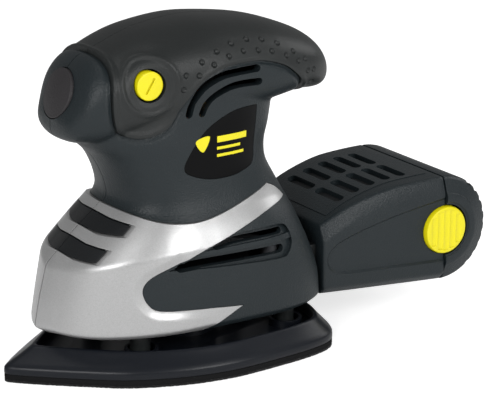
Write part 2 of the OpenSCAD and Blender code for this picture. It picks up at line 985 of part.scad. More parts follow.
module speed_module() {
    pot = 5;
    top_y = dial_face - dial_depth - slip;
    color("DarkGreen")
        across(dial_at[0], 0)
            difference() {
                union() {
                    translate([0, dial_at[1], top_y - pot])
                        cylinder(r = 4.8, h = pot);
                    translate([-6.5, 111.6, top_y - pot - 1.6])
                        cube([15, 13, 1.6]);
                }
                translate([0, dial_at[1], top_y - 4.2])
                    cylinder(r = 2 + fit, h = 10);
            }
}

gland_x = handle_tail - 0.3;
gland_l = 16;
flange_t = 3;

module along_x(x, z) {
    translate([x, 0, z])
        rotate([0, 90, 0])
            children();
}

module cord_gland() {
    color("Black")
        along_x(gland_x - gland_l, inlet_z)
            difference() {
                union() {
                    cylinder(r = gland_r, h = gland_l);
                    translate([0, 0, -flange_t])
                        cylinder(r = gland_r + 0.9, h = flange_t);
                }
                translate([0, 0, -flange_t - 1])
                    cylinder(r = cord_r, h = gland_l + flange_t + 2);
            }
}

clamp_l = 8;
clamp_h = 1.8;
clamp_w = 17;

module at_clamp() {
    translate([gland_x - gland_l - flange_t - clamp_l - 0.2, 0, inlet_z - cord_r - clamp_h])
        children();
}

module cord_clamp() {
    color("Black")
        at_clamp()
            difference() {
                translate([0, -clamp_w / 2, 0])
                    cube([clamp_l, clamp_w, clamp_h + 2]);
                translate([-1, 0, clamp_h + cord_r])
                    rotate([0, 90, 0])
                        cylinder(r = cord_r + 0.2, h = clamp_l + 2);
                for (side = [-1, 1])
                    translate([clamp_l / 2, side * 6.2, -1])
                        cylinder(r = screw_r, h = 20);
            }
}

module clamp_screws() {
    color("Silver")
        at_clamp()
            for (side = [-1, 1])
                translate([clamp_l / 2, side * 6.2, 0]) {
                    cylinder(r = screw_r, h = clamp_h + 2);
                    translate([0, 0, clamp_h + 2])
                        cylinder(r = 2.4, h = 1.6);
                }
}

// ---- duct and dust box ---------------------------------------------------------------------------

module frame_x(x0, x1, w, h, wall_in, z) {
    difference() {
        translate([x0, -w / 2, z])
            cube([x1 - x0, w, h]);
        translate([x0 - 1, -w / 2 + wall_in, z + wall_in])
            cube([x1 - x0 + 2, w - 2 * wall_in, h - 2 * wall_in]);
    }
}

duct_wall = 1.4;
duct_x = fan_r + 3;

module dust_duct() {
    color("DarkSlateGray")
        frame_x(duct_x, collar_x - 0.2, duct_w, duct_h, duct_wall, duct_z);
}

spigot_w = duct_w - 2 * duct_wall - 2 * slip;
spigot_h = duct_h - 2 * duct_wall - 2 * slip;
spigot_z = duct_z + duct_wall + slip;
spigot_wall = 1.4;
spigot_l = 12;

module duct_gasket() {
    rim = 3.2;
    color("Black")
        difference() {
            translate([collar_x + slip, -spigot_w / 2 - rim, spigot_z - rim])
                cube([box_x - collar_x - slip, spigot_w + 2 * rim, spigot_h + 2 * rim]);
            translate([collar_x - 1, -spigot_w / 2, spigot_z])
                cube([10, spigot_w, spigot_h]);
        }
}

seam_x = box_x + box_l;
box_floor1 = 19;
box_floor2 = 16;
cap_r = (box_z2 - box_floor2) / 2;
cap_z = box_floor2 + cap_r;
shoulder = 7;
foot = 3.5;

// A section of the box across its length: x, width, top width, floor, top, drawn in by d
function box_section(x, w, tw, z0, z1, d) = [[x, -w / 2 + d, z0 + foot], [x, -w / 2 + foot, z0 + d],
    [x, w / 2 - foot, z0 + d], [x, w / 2 - d, z0 + foot], [x, w / 2 - d, z1 - shoulder],
    [x, tw / 2 - d * 0.4, z1 - d], [x, -tw / 2 + d * 0.4, z1 - d], [x, -w / 2 + d, z1 - shoulder]];

module box_solid(d) {
    loft([box_section(box_x + d, box_front_w, box_top_w, box_floor1, box_z1, d),
        box_section(seam_x + (d > 0 ? 1 : 0), box_w, box_top_w, box_floor2, box_z2, d)]);
}

top_angle = atan2(box_z2 - box_z1, box_l);
top_l = norm([box_z2 - box_z1, box_l]);

module on_top() {
    translate([box_x, 0, box_z1])
        rotate([0, -top_angle, 0])
            children();
}

panel_w = box_top_w - 5;
panel_x = 5;
panel_l = top_l - 9;
vent_t = 2.2;

module latch_hole() {
    across(seam_x, cap_z)
        cylinder(r = latch_r + slip, h = big, center = true);
}

module dust_box() {
    color("DarkSlateGray")
        difference() {
            union() {
                difference() {
                    box_solid(0);
                    box_solid(box_wall);
                }
                translate([collar_x + 1 - spigot_l, -spigot_w / 2, spigot_z])
                    cube([spigot_l + box_x - collar_x, spigot_w, spigot_h]);
            }
            translate([0, -spigot_w / 2 + spigot_wall, spigot_z + spigot_wall])
                cube([box_x + box_wall + 2, spigot_w - 2 * spigot_wall, spigot_h - 2 * spigot_wall]);
            on_top()
                translate([panel_x - gap, -panel_w / 2 - gap, -vent_t * 2])
                    cube([panel_l + 2 * gap, panel_w + 2 * gap, 10]);
            latch_hole();
        }
}

vent_rows = 5;
vent_pitch = 8.2;
vent_slot_w = 3.6;
vent_slot_l = 18.6;

module vent_panel() {
    first = panel_x + (panel_l - (vent_rows - 1) * vent_pitch) / 2;
    color("DarkSlateGray")
        on_top()
            difference() {
                translate([panel_x, -panel_w / 2, -vent_t])
                    cube([panel_l, panel_w, vent_t]);
                for (row = [0:vent_rows - 1])
                    for (side = [-1, 1])
                        translate([first + row * vent_pitch - vent_slot_w / 2,
                            side * (vent_slot_l / 2 + 1.4) - vent_slot_l / 2, -vent_t - 1])
                            cube([vent_slot_w, vent_slot_l, vent_t + 2]);
            }
}

frame_t = 2;
frame_bar = 3;

module filter_frame() {
    color("Black")
        on_top()
            difference() {
                translate([panel_x, -panel_w / 2, -vent_t - frame_t])
                    cube([panel_l, panel_w, frame_t]);
                translate([panel_x + frame_bar, -panel_w / 2 + frame_bar, -20])
                    cube([panel_l - 2 * frame_bar, panel_w - 2 * frame_bar, 40]);
            }
}

module filter_fleece() {
    color("White")
        on_top()
            translate([panel_x + frame_bar + gap, -panel_w / 2 + frame_bar + gap, -vent_t - frame_t])
                cube([panel_l - 2 * (frame_bar + gap), panel_w - 2 * (frame_bar + gap), frame_t]);
}

// The cap is half a drum about the buttons' axis
module drum(d) {
    across(seam_x, cap_z)
        rotate_extrude($fn = 96)
            polygon([[0, -box_w / 2 + d], [cap_r - shoulder, -box_w / 2 + d],
                [cap_r - d, -box_top_w / 2 + d * 0.4], [cap_r - d, box_top_w / 2 - d * 0.4],
                [cap_r - shoulder, box_w / 2 - d], [0, box_w / 2 - d]]);
}

button_t = 4;
stem_r = 3;
guide_y = 19;
guide_t = 3;

module end_cap() {
    color("DarkSlateGray")
        difference() {
            union() {
                difference() {
                    intersection() {
                        drum(0);
                        translate([seam_x + 0.2, -big / 2, 0])
                            cube([big, big, big]);
                    }
                    drum(box_wall);
                }
                for (side = [-1, 1])
                    translate([seam_x + 0.2, side < 0 ? -guide_y - guide_t : guide_y, cap_z - 6])
                        cube([cap_r - 1.2, guide_t, 12]);
                for (side = [-1, 1])
                    across(seam_x, cap_z)
                        translate([0, 0, side < 0 ? -guide_y - guide_t : guide_y])
                            cylinder(r = 6, h = guide_t);
            }
            across(seam_x, cap_z)
                cylinder(r = stem_r + slip, h = big, center = true);
            across(seam_x, cap_z)
                for (side = [-1, 1])
                    translate([0, 0, side < 0 ? -big - box_w / 2 + 4 : box_w / 2 - 4])
                        cylinder(r = latch_r + slip, h = big);
        }
}

module latch_button(side) {
    color("Yellow")
        scale([1, side, 1])
            translate([seam_x, 0, cap_z])
                rotate([-90, 0, 0]) {
                    translate([0, 0, box_w / 2 - button_t + 0.6])
                        cylinder(r = latch_r, h = button_t);
                    translate([0, 0, guide_y - 2])
                        cylinder(r = stem_r, h = box_w / 2 - button_t - guide_y + 3);
                }
}

module latch_button_left() {
    latch_button(-1);
}

module latch_button_right() {
    latch_button(1);
}

module latch_springs() {
    spring_l = box_w / 2 - button_t + 0.6 - guide_y - guide_t - latch_travel - 0.2;
    color("Silver")
        for (side = [-1, 1])
            scale([1, side, 1])
                translate([seam_x, guide_y + guide_t, cap_z])
                    rotate([-90, 0, 0])
                        tube(4.6, stem_r + 0.8, spring_l);
}

housing_left();
housing_right();
grip_left();
grip_right();
fairing_left();
fairing_right();
badge_left();
badge_right();
base_cover();
base_cover_screws();
housing_screws();
flex_posts();
stator_core();
field_coils();
armature_core();
armature_windings();
commutator();
armature_shaft();
upper_bearing();
lower_bearing();
motor_bracket();
brush_plate();
brush_holder_left();
brush_holder_right();
carbon_brush_left();
carbon_brush_right();
brush_springs();
fan();
counterweight();
eccentric_bearing();
spindle_screw();
spindle_washer();
platen();
platen_screws();
bearing_retainer();
foam_pad();
hook_layer();
switch_body();
switch_plunger();
switch_boot();
speed_dial();
speed_module();
cord_gland();
cord_clamp();
clamp_screws();
dust_duct();
dust_box();
vent_panel();
filter_fleece();
filter_frame();
duct_gasket();
end_cap();
latch_button_left();
latch_button_right();
latch_springs();
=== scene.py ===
import bpy, json, math
from math import sin, cos, radians, pi
import numpy as np
from mathutils import Matrix, Vector
from mathutils.bvhtree import BVHTree


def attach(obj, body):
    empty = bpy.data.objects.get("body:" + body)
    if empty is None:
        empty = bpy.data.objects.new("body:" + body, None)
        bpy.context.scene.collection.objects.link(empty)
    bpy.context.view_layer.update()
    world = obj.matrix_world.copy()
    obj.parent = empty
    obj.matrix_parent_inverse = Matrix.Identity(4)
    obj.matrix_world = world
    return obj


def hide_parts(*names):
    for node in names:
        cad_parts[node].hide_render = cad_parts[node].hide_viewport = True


bl_info = {"name": "Detail sander looks", "version": (1, 0, 0), "blender": (4, 5, 0),
           "location": "View3D > Sidebar > Sander",
           "description": "Builds the visible pieces of the detail sander over its packed frame",
           "category": "Object"}

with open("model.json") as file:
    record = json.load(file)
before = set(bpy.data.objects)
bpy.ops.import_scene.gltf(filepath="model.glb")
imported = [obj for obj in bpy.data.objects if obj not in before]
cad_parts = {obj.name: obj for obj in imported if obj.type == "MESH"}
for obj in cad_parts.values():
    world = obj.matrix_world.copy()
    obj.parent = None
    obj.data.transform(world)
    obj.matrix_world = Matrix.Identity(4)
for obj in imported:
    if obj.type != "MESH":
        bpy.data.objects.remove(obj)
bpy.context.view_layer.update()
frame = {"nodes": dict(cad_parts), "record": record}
MM = 0.001

# ---- the sizes that the looks share with the part --------------------------------------------

HALF_B, HALF_N, HALF_H, PROW, TOP, NOSE, TAIL, COLLAR = 38.0, 27.7, 29.6, 66.2, 141.0, 58.6, 65.8, 49.0
KEEL, BODY_Z = 0.14, 17.0
# each level: front x and z, rear x and z, bow, half width, widest x, front and rear roundness
BODY = [
    [-PROW + 3.7, BODY_Z, 55.5, BODY_Z + 1.5, 0, HALF_B - 2, 14, 2.3, 3],
    [-PROW, BODY_Z + 4.5, 57, BODY_Z + 5, 0, HALF_B, 14, 2.3, 3.2],
    [-PROW + 2, 31.5, 55, 33, 1, HALF_B + 0.4, 14, 2.3, 3.2],
    [-60.6, 45.3, 50, 46, 8, HALF_B - 0.6, 12, 2.4, 3],
    [-49, 56.4, 46.2, 57, 4, HALF_B - 3.8, 8, 2.5, 2.8],
    [-36, 67.6, 41.8, 67, 0, HALF_N + 2.7, 4, 2.7, 2.6],
    [-34.4, 72, 39.4, 72, 0, HALF_N + 1.2, 3, 2.8, 2.5],
    [-36.5, 80, 35.6, 80, 0, HALF_N, 1, 2.8, 2.4],
    [-41.2, 88.5, 35, 88, 0, HALF_N - 0.1, 0, 2.7, 2.4],
    [-48, 95.5, 37, 95.5, 0, HALF_N + 0.1, 0, 2.5, 2.4],
    [-50, 103, 38.5, 103, 0, HALF_N, 0, 2.3, 2.4],
    [-40, 113, 40, 113, 0, HALF_N + 0.5, 0, 2.2, 2.4]]
# each station: x, top z, bottom z, half width, roundness, how far an offset moves it along x
HANDLE = [
    [-NOSE, 107, 102, 7, 2, 1], [-NOSE + 1.2, 110, 98.8, 13, 2.1, 1],
    [-NOSE + 4.6, 117.4, 96.8, 18, 2.3, 1], [-NOSE + 8, 125, 95.8, 21, 2.4, 0.6],
    [-46, 129.4, 95.6, 23.4, 2.5, 0], [-41, TOP - 9.7, 96, HALF_H - 4.4, 2.5, 0],
    [-31, TOP - 5.7, 97, HALF_H - 1.8, 2.5, 0], [-20, TOP - 2.2, 98, HALF_H - 0.6, 2.4, 0],
    [-2.5, TOP, 99, HALF_H, 2.4, 0], [12, TOP - 0.7, 100, HALF_H, 2.4, 0],
    [32, TOP - 3.8, 102.8, HALF_H - 0.6, 2.4, 0], [47, TOP - 8.6, 105, HALF_H - 3.4, 2.3, 0],
    [TAIL - 10.8, TOP - 12.6, 104.6, HALF_H - 7, 2.3, 0],
    [TAIL - 5.3, TOP - 17.4, 104.4, HALF_H - 12.1, 2.2, 0.6],
    [TAIL - 1.6, TOP - 23.5, 106, HALF_H - 19.1, 2, 1], [TAIL, TOP - 28, 109, HALF_H - 26.6, 2, 1]]
GRIP = [[-42, 170], [-41.5, 131], [-42, 127], [-43.6, 119], [-43.8, 112], [-42.6, 106], [-40, 102],
        [-36.5, 99.8], [-31, 98.8], [-25, 99.8], [-19, 103.4], [-14, 111.5], [-6, 119.6], [3.7, 124],
        [14, 125], [23, 124.4], [32.5, 121.3], [38, 117.5], [41.8, 114], [44.6, 110], [46.6, 105.5],
        [47.5, 100], [48, 90], [90, 90], [90, 170]]
ARM = [[-36, 68], [-26, 65], [-17.5, 63.8], [-8, 63.8], [3.6, 66], [16.5, 69.6], [26.6, 72.3],
       [32, 69.5], [36.5, 65], [24, 63.2], [13, 60.2], [0.6, 56.2], [-10.7, 52.8], [-21, 48.8],
       [-30.3, 45]]
BAY = [[-30.3, 45], [-34.5, 41.8], [-35.6, 38], [-33.8, 33.4], [-29.3, 30.2], [-16, 29], [-6, 28.4],
       [7, 27.3]]
TOE = [[7, 27.3], [0, 23.6], [-6, 20.4], [-11, 17.5], [-13, 10], [-90, 10], [-90, 45], [-62, 68],
       [-50, 72]]
FAIRING_CORNERS = {(26.6, 72.3), (36.5, 65), (7, 27.3), (-13, 10), (-90, 10), (-90, 45)}
BAR_UPPER = [[-62, 80.5], [-39.4, 64.8], [-34.5, 63.6], [-38.8, 59.7], [-45.6, 59.3], [-66, 75]]
BAR_LOWER = [[-70, 72.8], [-49.8, 55.6], [-45, 54.8], [-50.6, 49.9], [-55.6, 50], [-72, 64]]
BADGE = [[20.5, 106], [21.8, 104], [20.6, 92], [20, 82.6], [14, 79.8], [6, 78.6], [-3, 79],
         [-11, 81.6], [-13.6, 84.4], [-12, 89], [-6, 97.4], [1, 102.4], [10, 105.8]]
DIAL_AT, DIAL_R, DISH_R = (-28.2, 120.2), 5.8, 11.0
DIAL_FACE, DIAL_GAP = 26.6, 0.75
INLET_X, INLET_Z, GLAND_R = TAIL - 20, 112.6, 5.15
SCREWS, SCREW_R = ((-50, 34), (38, 52), (-27.6, 76), (29.4, 76), (45, 122.6), (-31, 108)), 2.95
FAIRING_SCREW, GRIP_SCREW = SCREWS[0], SCREWS[4]
PANEL_BED, SHELL_DEPTH, MOUTH_DROP = 2.2, 4.4, 1.2
BOOT_AT, BOOT_TILT, BOOT_R = (-55.4, 115.8), 20, 10.2
SLOT_OUTER = [[-11.4, 106.6], [-9.6, 112.2], [-5.2, 117.4], [2.4, 120.8], [10, 121.7], [19, 122]]
SLOT_INNER = [[-5.6, 106.4], [-3.6, 110.2], [0.2, 113.4], [6.7, 116], [13, 116.6], [20, 116.4]]
SEAM_X, CAP_Z, CAP_R, BOX_X, BOX_W, BOX_FW, BOX_TW = 113.0, 39.25, 23.25, 52.5, 66.0, 57.0, 61.0
BOX_Z1, BOX_Z2, SHOULDER, FOOT, LATCH_R, BOX_WALL = 48.5, 62.5, 7.0, 3.5, 10.5, 2.0
VENT_X, VENT_HALF, VENT_BED, VENT_ROWS, VENT_PITCH = 5, 22.5, 53.2, 5, 8.2
SPIGOT_HALF, SPIGOT_Z1, SPIGOT_Z2, SPIGOT_WALL = 19.0, 23.2, 37.3, 1.4
AXIS = 1e-7  # the radius of a turned profile's end on its axis
PAD_EDGE = [[0, 0], [0.02, 0.085], [0.075, 0.24], [0.18, 0.51], [0.285, 0.745], [0.43, 0.925],
            [0.57, 1], [0.715, 0.985], [0.86, 0.935], [0.945, 0.83], [0.985, 0.6], [1, 0.28]]
PAD_TIP, PAD_L, PAD_HALF, ORBIT = -82.0, 140.0, 46.0, 0.8
POSTS = ((-31, 20), (-31, -20), (37.6, 21), (37.6, -21))
TRAY_Z, HUB_R, HUB_BORE, CUP_R, CUP_BORE = 6.8, 14, 11.02, 7.1, 5.7
DIMPLES = [(-13.6, 123.2), (-7.9, 122.5), (-14.9, 117.6), (-6.1, 127.6), (-0.9, 126), (1.4, 130.8),
           (6.5, 128.5), (8.9, 132.8), (13.6, 129.6), (16.7, 133.4), (20.6, 129.1), (23.9, 132.5),
           (30.7, 130.4), (26.9, 127.9), (33.8, 125.3), (37.7, 126.4), (39.8, 122.2), (43.6, 122.4),
           (45.3, 117), (48.7, 116.9), (49.3, 110.9)]


# ---- curves -------------------------------------------------------------------------------------

def blend(a, b, c, d, t):
    return 0.5 * (2 * b + (c - a) * t + (2 * a - 5 * b + 4 * c - d) * t * t
                  + (3 * b - a - 3 * c + d) * t ** 3)


def through(rows, steps, closed=False, corners=()):
    """A Catmull-Rom curve through rows of numbers, broken at the corner indices."""
    p = [np.array(r, float) for r in rows]
    n, out = len(p), []
    for i in range(n if closed else n - 1):
        a, b, c, d = ((i - 1) % n if closed else max(i - 1, 0)), i, (i + 1) % n, \
            ((i + 2) % n if closed else min(i + 2, n - 1))
        before = p[b] - (p[c] - p[b]) if b in corners or (not closed and i == 0) else p[a]
        after = p[c] + (p[c] - p[b]) if c in corners or (not closed and i == n - 2) else p[d]
        out += [blend(before, p[b], p[c], after, k / steps) for k in range(steps)]
    return out if closed else out + [p[-1]]


def power(v, p):
    """A superellipse's coordinate from the sine or cosine v, squarer with a higher p."""
    return math.copysign(abs(v) ** (2 / p), v)


def body_ring(r, d, n):
    out = []
    for i in range(n):
        t = 2 * pi * (i + 0.5) / n
        c, s = cos(t), sin(t)
        front, rear = r[0] + d, r[2] - d
        x = (r[6] + (r[6] - front) * (power(c, r[7]) + KEEL * abs(s) * (1 - abs(s)) ** 2)
             if c < 0 else r[6] + (rear - r[6]) * power(c, r[8]))
        u = (x - r[0]) / (r[2] - r[0])
        out.append((x, (r[5] - d) * power(s, r[7] if c < 0 else r[8]),
                    r[1] + (r[3] - r[1]) * u + 4 * r[4] * u * (1 - u)))
    return out


def handle_ring(h, d, n):
    out = []
    for i in range(n):
        t = 2 * pi * (i + 0.5) / n
        half = max((h[1] - h[2]) / 2 - d, 0.5)
        out.append((h[0] + (d if h[0] < 0 else -d) * h[5], max(h[3] - d, 0.5) * power(cos(t), h[4]),
                    (h[1] + h[2]) / 2 + half * power(sin(t), h[4])))
    return out


# ---- mesh tools ---------------------------------------------------------------------------------

def only(*objs):
    if bpy.context.object and bpy.context.object.mode != "OBJECT":
        bpy.ops.object.mode_set(mode="OBJECT")
    bpy.ops.object.select_all(action="DESELECT")
    for o in objs:
        o.select_set(True)
    bpy.context.view_layer.objects.active = objs[0]


def mesh(name, points, faces, edges=()):
    """A mesh from points in millimetres."""
    m = bpy.data.meshes.new(name)
    m.from_pydata([tuple(c * MM for c in p) for p in points], list(edges), faces)
    o = bpy.data.objects.new(name, m)
    bpy.context.scene.collection.objects.link(o)
    return o


def loft(name, rings, caps=True):
    n, last = len(rings[0]), len(rings) - 1
    faces = [(j * n + i, j * n + (i + 1) % n, (j + 1) * n + (i + 1) % n, (j + 1) * n + i)
             for j in range(last) for i in range(n)]
    if caps:
        faces += [tuple(range(n - 1, -1, -1)), tuple(last * n + i for i in range(n))]
    return outward(mesh(name, [p for r in rings for p in r], faces))


def outward(o, *steps):
    """Takes steps in edit mode on the whole of a mesh, then turns its faces outwards."""
    only(o)
    bpy.ops.object.mode_set(mode="EDIT")
    for step in (*steps, lambda: bpy.ops.mesh.normals_make_consistent(inside=False)):
        bpy.ops.mesh.select_all(action="SELECT")
        step()
    bpy.ops.object.mode_set(mode="OBJECT")
    return o


def modify(o, kind, **settings):
    m = o.modifiers.new(kind.title(), kind)
    for k, v in settings.items():
        setattr(m, k, v)
    only(o)
    bpy.ops.object.modifier_apply(modifier=m.name)
    return o


def even_mesh(o, size, passes):
    """Meshes a solid anew in even steps of size, then smooths it."""
    o.data.remesh_voxel_size = size * MM
    only(o)
    bpy.ops.object.voxel_remesh()
    return modify(o, "SMOOTH", factor=0.5, iterations=passes)


def combine(o, tool, how="DIFFERENCE", keep=False):
    before = len(o.data.vertices)
    modify(o, "BOOLEAN", operation=how, solver="MANIFOLD", object=tool)
    if len(o.data.vertices) == before or not o.data.vertices:
        raise RuntimeError(f"the {how.lower()} of {o.name} with {tool.name} did nothing")
    if not keep:
        bpy.data.objects.remove(tool)
    return o


def copy(o, name):
    c = o.copy()
    c.data = o.data.copy()
    c.name = c.data.name = name
    bpy.context.scene.collection.objects.link(c)
    return c


def offset_outline(points, grow):
    """A closed outline moved outwards by grow."""
    p = np.array(points, float)
    area = 0.5 * np.sum(p[:, 0] * np.roll(p[:, 1], -1) - np.roll(p[:, 0], -1) * p[:, 1])
    e = np.roll(p, -1, 0) - p
    e /= np.linalg.norm(e, axis=1)[:, None] + 1e-12
    nrm = np.stack([e[:, 1], -e[:, 0]], 1) * (1 if area > 0 else -1)
    both = nrm + np.roll(nrm, 1, 0)
    both /= np.maximum(np.linalg.norm(both, axis=1)[:, None], 1e-9)
    reach = np.clip(1 / np.maximum(np.sum(both * nrm, 1), 0.35), 1, 2.5)
    return (p + both * reach[:, None] * grow).tolist()


def prism(name, outline, y0=-80, y1=80, grow=0):
    """An outline in the side view, x and z, extruded across from y0 to y1."""
    pts = offset_outline(outline, grow) if grow else outline
    o = mesh(name, [(p[0], y0, p[1]) for p in pts], [tuple(range(len(pts)))])
    reach = {"value": (0, (y1 - y0) * MM, 0)}
    return outward(o, lambda: bpy.ops.mesh.extrude_region_move(TRANSFORM_OT_translate=reach),
                   bpy.ops.mesh.quads_convert_to_tris)


def band(points, r, ends=8):
    """The outline of a band of half width r along an open curve, with round ends."""
    p = np.array(through(points, 5), float)
    t = np.gradient(p, axis=0)
    t /= np.linalg.norm(t, axis=1)[:, None]
    n = np.stack([-t[:, 1], t[:, 0]], 1) * r
    cap = lambda c, v, w: [tuple(c + v * cos(a) + w * sin(a)) for a in np.linspace(0, pi, ends)[1:-1]]
    return ([tuple(q) for q in p + n] + cap(p[-1], n[-1], t[-1] * r)
            + [tuple(q) for q in (p - n)[::-1]] + cap(p[0], -n[0], -t[0] * r))


def box(name, lo, hi):
    bpy.ops.object.select_all(action="DESELECT")
    bpy.ops.mesh.primitive_cube_add(size=1)
    o = bpy.context.object
    o.name = o.data.name = name
    lo, hi = Vector(lo) * MM, Vector(hi) * MM
    o.data.transform(Matrix.Translation((lo + hi) / 2) @ Matrix.Diagonal((*(hi - lo), 1)))
    return o


def rod(name, r, h, place, sides=64, r2=None):
    """A cylinder or cone from 0 to h along +Z, put in place by a matrix in millimetres."""
    bpy.ops.object.select_all(action="DESELECT")
    bpy.ops.mesh.primitive_cone_add(vertices=sides, radius1=r, radius2=r if r2 is None else r2, depth=h)
    o = bpy.context.object
    o.name = o.data.name = name
    o.data.transform(Matrix.Scale(MM, 4) @ place @ Matrix.Translation((0, 0, h / 2)))
    o.matrix_world = Matrix.Identity(4)
    return o


def lathe(name, profile, place, sides=96):
    """A profile of radius and height turned about +Z, put in place by a matrix in millimetres."""
    n = len(profile)
    o = mesh(name, [(p[0], 0, p[1]) for p in profile], [], [(i, i + 1) for i in range(n - 1)])
    modify(o, "SCREW", angle=2 * pi, steps=sides, render_steps=sides, use_merge_vertices=True,
           merge_threshold=1e-6)
    put(outward(o, lambda: bpy.ops.mesh.remove_doubles(threshold=1e-6)), place)
    if place.determinant() < 0:
        o.data.flip_normals()
    return o


def join(name, *objs):
    only(*objs)
    bpy.ops.object.join()
    objs[0].name = objs[0].data.name = name
    return objs[0]


def across(x, z, side=-1):
    """+Z of the matrix points out of the left side, or out of the right with side 1."""
    m = Matrix.Rotation(radians(90), 4, "X")
    return Matrix.Translation((x, 0, z)) @ (m if side < 0 else Matrix.Scale(-1, 4, (0, 1, 0)) @ m)


def along_x(x, z):
    return Matrix.Translation((x, 0, z)) @ Matrix.Rotation(pi / 2, 4, "Y")


def along_y(x, z, y=50):
    """+Z of the matrix points to -Y, from y."""
    return Matrix.Translation((x, y, z)) @ Matrix.Rotation(pi / 2, 4, "X")


def at_nose():
    turn = Matrix.Rotation(radians(BOOT_TILT - 90), 4, "Y")
    return Matrix.Translation((BOOT_AT[0], 0, BOOT_AT[1])) @ turn


def put(o, place):
    """Moves a mesh by a matrix in millimetres."""
    o.data.transform(Matrix.Scale(MM, 4) @ place @ Matrix.Scale(1 / MM, 4))
    return o


def points_of(o):
    co = np.zeros(len(o.data.vertices) * 3)
    o.data.vertices.foreach_get("co", co)
    return co.reshape(-1, 3) / MM


def normals_of(o):
    n = np.zeros(len(o.data.vertices) * 3)
    o.data.vertices.foreach_get("normal", n)
    return n.reshape(-1, 3)


def move_points(o, p):
    o.data.vertices.foreach_set("co", (p * MM).ravel())
    o.data.update()


def near(p, curve):
    """Distance in the side view from points to an open curve."""
    q, best = p[:, [0, 2]], np.full(len(p), 1e9)
    c = np.array(curve, float)
    for a, b in zip(c[:-1], c[1:]):
        d = b - a
        t = np.clip(((q - a) @ d) / max(d @ d, 1e-12), 0, 1)
        best = np.minimum(best, np.linalg.norm(q - a - t[:, None] * d, axis=1))
    return best


def ramp(v):
    """Eases from 0 to 1."""
    v = np.clip(v, 0, 1)
    return v * v * (3 - 2 * v)


def finish_piece(o, material, body, nodes=(), angle=35):
    only(o)
    bpy.ops.object.shade_smooth_by_angle(angle=radians(angle))
    o.data.materials.clear()
    o.data.materials.append(material)
    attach(o, body)
    if nodes:
        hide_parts(*nodes)
    return o


# ---- materials ------------------------------------------------------------------------------------

def srgb(*c):
    return tuple((v / 12.92 if v <= 0.04045 else ((v + 0.055) / 1.055) ** 2.4) for v in
                 (x / 255 for x in c)) + (1,)


def new_group(name, inputs, outputs):
    g = bpy.data.node_groups.new(name, "ShaderNodeTree")
    for n, kind, default in inputs:
        s = g.interface.new_socket(name=n, in_out="INPUT", socket_type=kind)
        s.default_value = default
    for n, kind in outputs:
        g.interface.new_socket(name=n, in_out="OUTPUT", socket_type=kind)
    i, o = g.nodes.new("NodeGroupInput"), g.nodes.new("NodeGroupOutput")
    return g, i, o


def grain_group():
    """Fine moulded texture: a bumped normal with softened edges, and a mask of its high spots."""
    g, i, o = new_group("Moulded grain", [("Scale", "NodeSocketFloat", 3000.0),
                                          ("Depth", "NodeSocketFloat", 0.1),
                                          ("Edge radius", "NodeSocketFloat", 0.0003)],
                        [("Normal", "NodeSocketVector"), ("Mask", "NodeSocketFloat")])
    n, link = g.nodes, g.links.new
    tc, noise, edge, bump = (n.new("ShaderNodeTexCoord"), n.new("ShaderNodeTexNoise"),
                             n.new("ShaderNodeBevel"), n.new("ShaderNodeBump"))
    noise.inputs["Detail"].default_value = 2
    edge.samples = 4
    bump.inputs["Distance"].default_value = 0.0002
    link(tc.outputs["Object"], noise.inputs["Vector"])
    link(i.outputs["Scale"], noise.inputs["Scale"])
    link(i.outputs["Edge radius"], edge.inputs["Radius"])
    link(noise.outputs["Fac"], bump.inputs["Height"])
    link(i.outputs["Depth"], bump.inputs["Strength"])
    link(edge.outputs["Normal"], bump.inputs["Normal"])
    link(bump.outputs["Normal"], o.inputs["Normal"])
    link(noise.outputs["Fac"], o.inputs["Mask"])
    return g


def tone_group():
    """Slow, faint changes in colour and roughness, so no surface is quite even."""
    g, i, o = new_group("Uneven tone", [("Color", "NodeSocketColor", (0.5, 0.5, 0.5, 1)),
                                        ("Roughness", "NodeSocketFloat", 0.5),
                                        ("Spread", "NodeSocketFloat", 0.1)],
                        [("Color", "NodeSocketColor"), ("Roughness", "NodeSocketFloat")])
    n, link = g.nodes, g.links.new
    tc, noise = n.new("ShaderNodeTexCoord"), n.new("ShaderNodeTexNoise")
    noise.inputs["Scale"].default_value = 45
    noise.inputs["Detail"].default_value = 5
    link(tc.outputs["Object"], noise.inputs["Vector"])
    centre, spread, gain, rough = [n.new("ShaderNodeMath") for _ in range(4)]
    centre.operation, spread.operation, gain.operation, rough.operation = ("SUBTRACT", "MULTIPLY",
                                                                           "ADD", "MULTIPLY")
    centre.inputs[1].default_value, gain.inputs[1].default_value = 0.5, 1.0
    link(noise.outputs["Fac"], centre.inputs[0])
    link(centre.outputs[0], spread.inputs[0])
    link(i.outputs["Spread"], spread.inputs[1])
    link(spread.outputs[0], gain.inputs[0])
    scale = n.new("ShaderNodeVectorMath")
    scale.operation = "SCALE"
    link(i.outputs["Color"], scale.inputs[0])
    link(gain.outputs[0], scale.inputs["Scale"])
    link(scale.outputs["Vector"], o.inputs["Color"])
    link(i.outputs["Roughness"], rough.inputs[0])
    link(gain.outputs[0], rough.inputs[1])
    link(rough.outputs[0], o.inputs["Roughness"])
    return g


GROUPS = {}


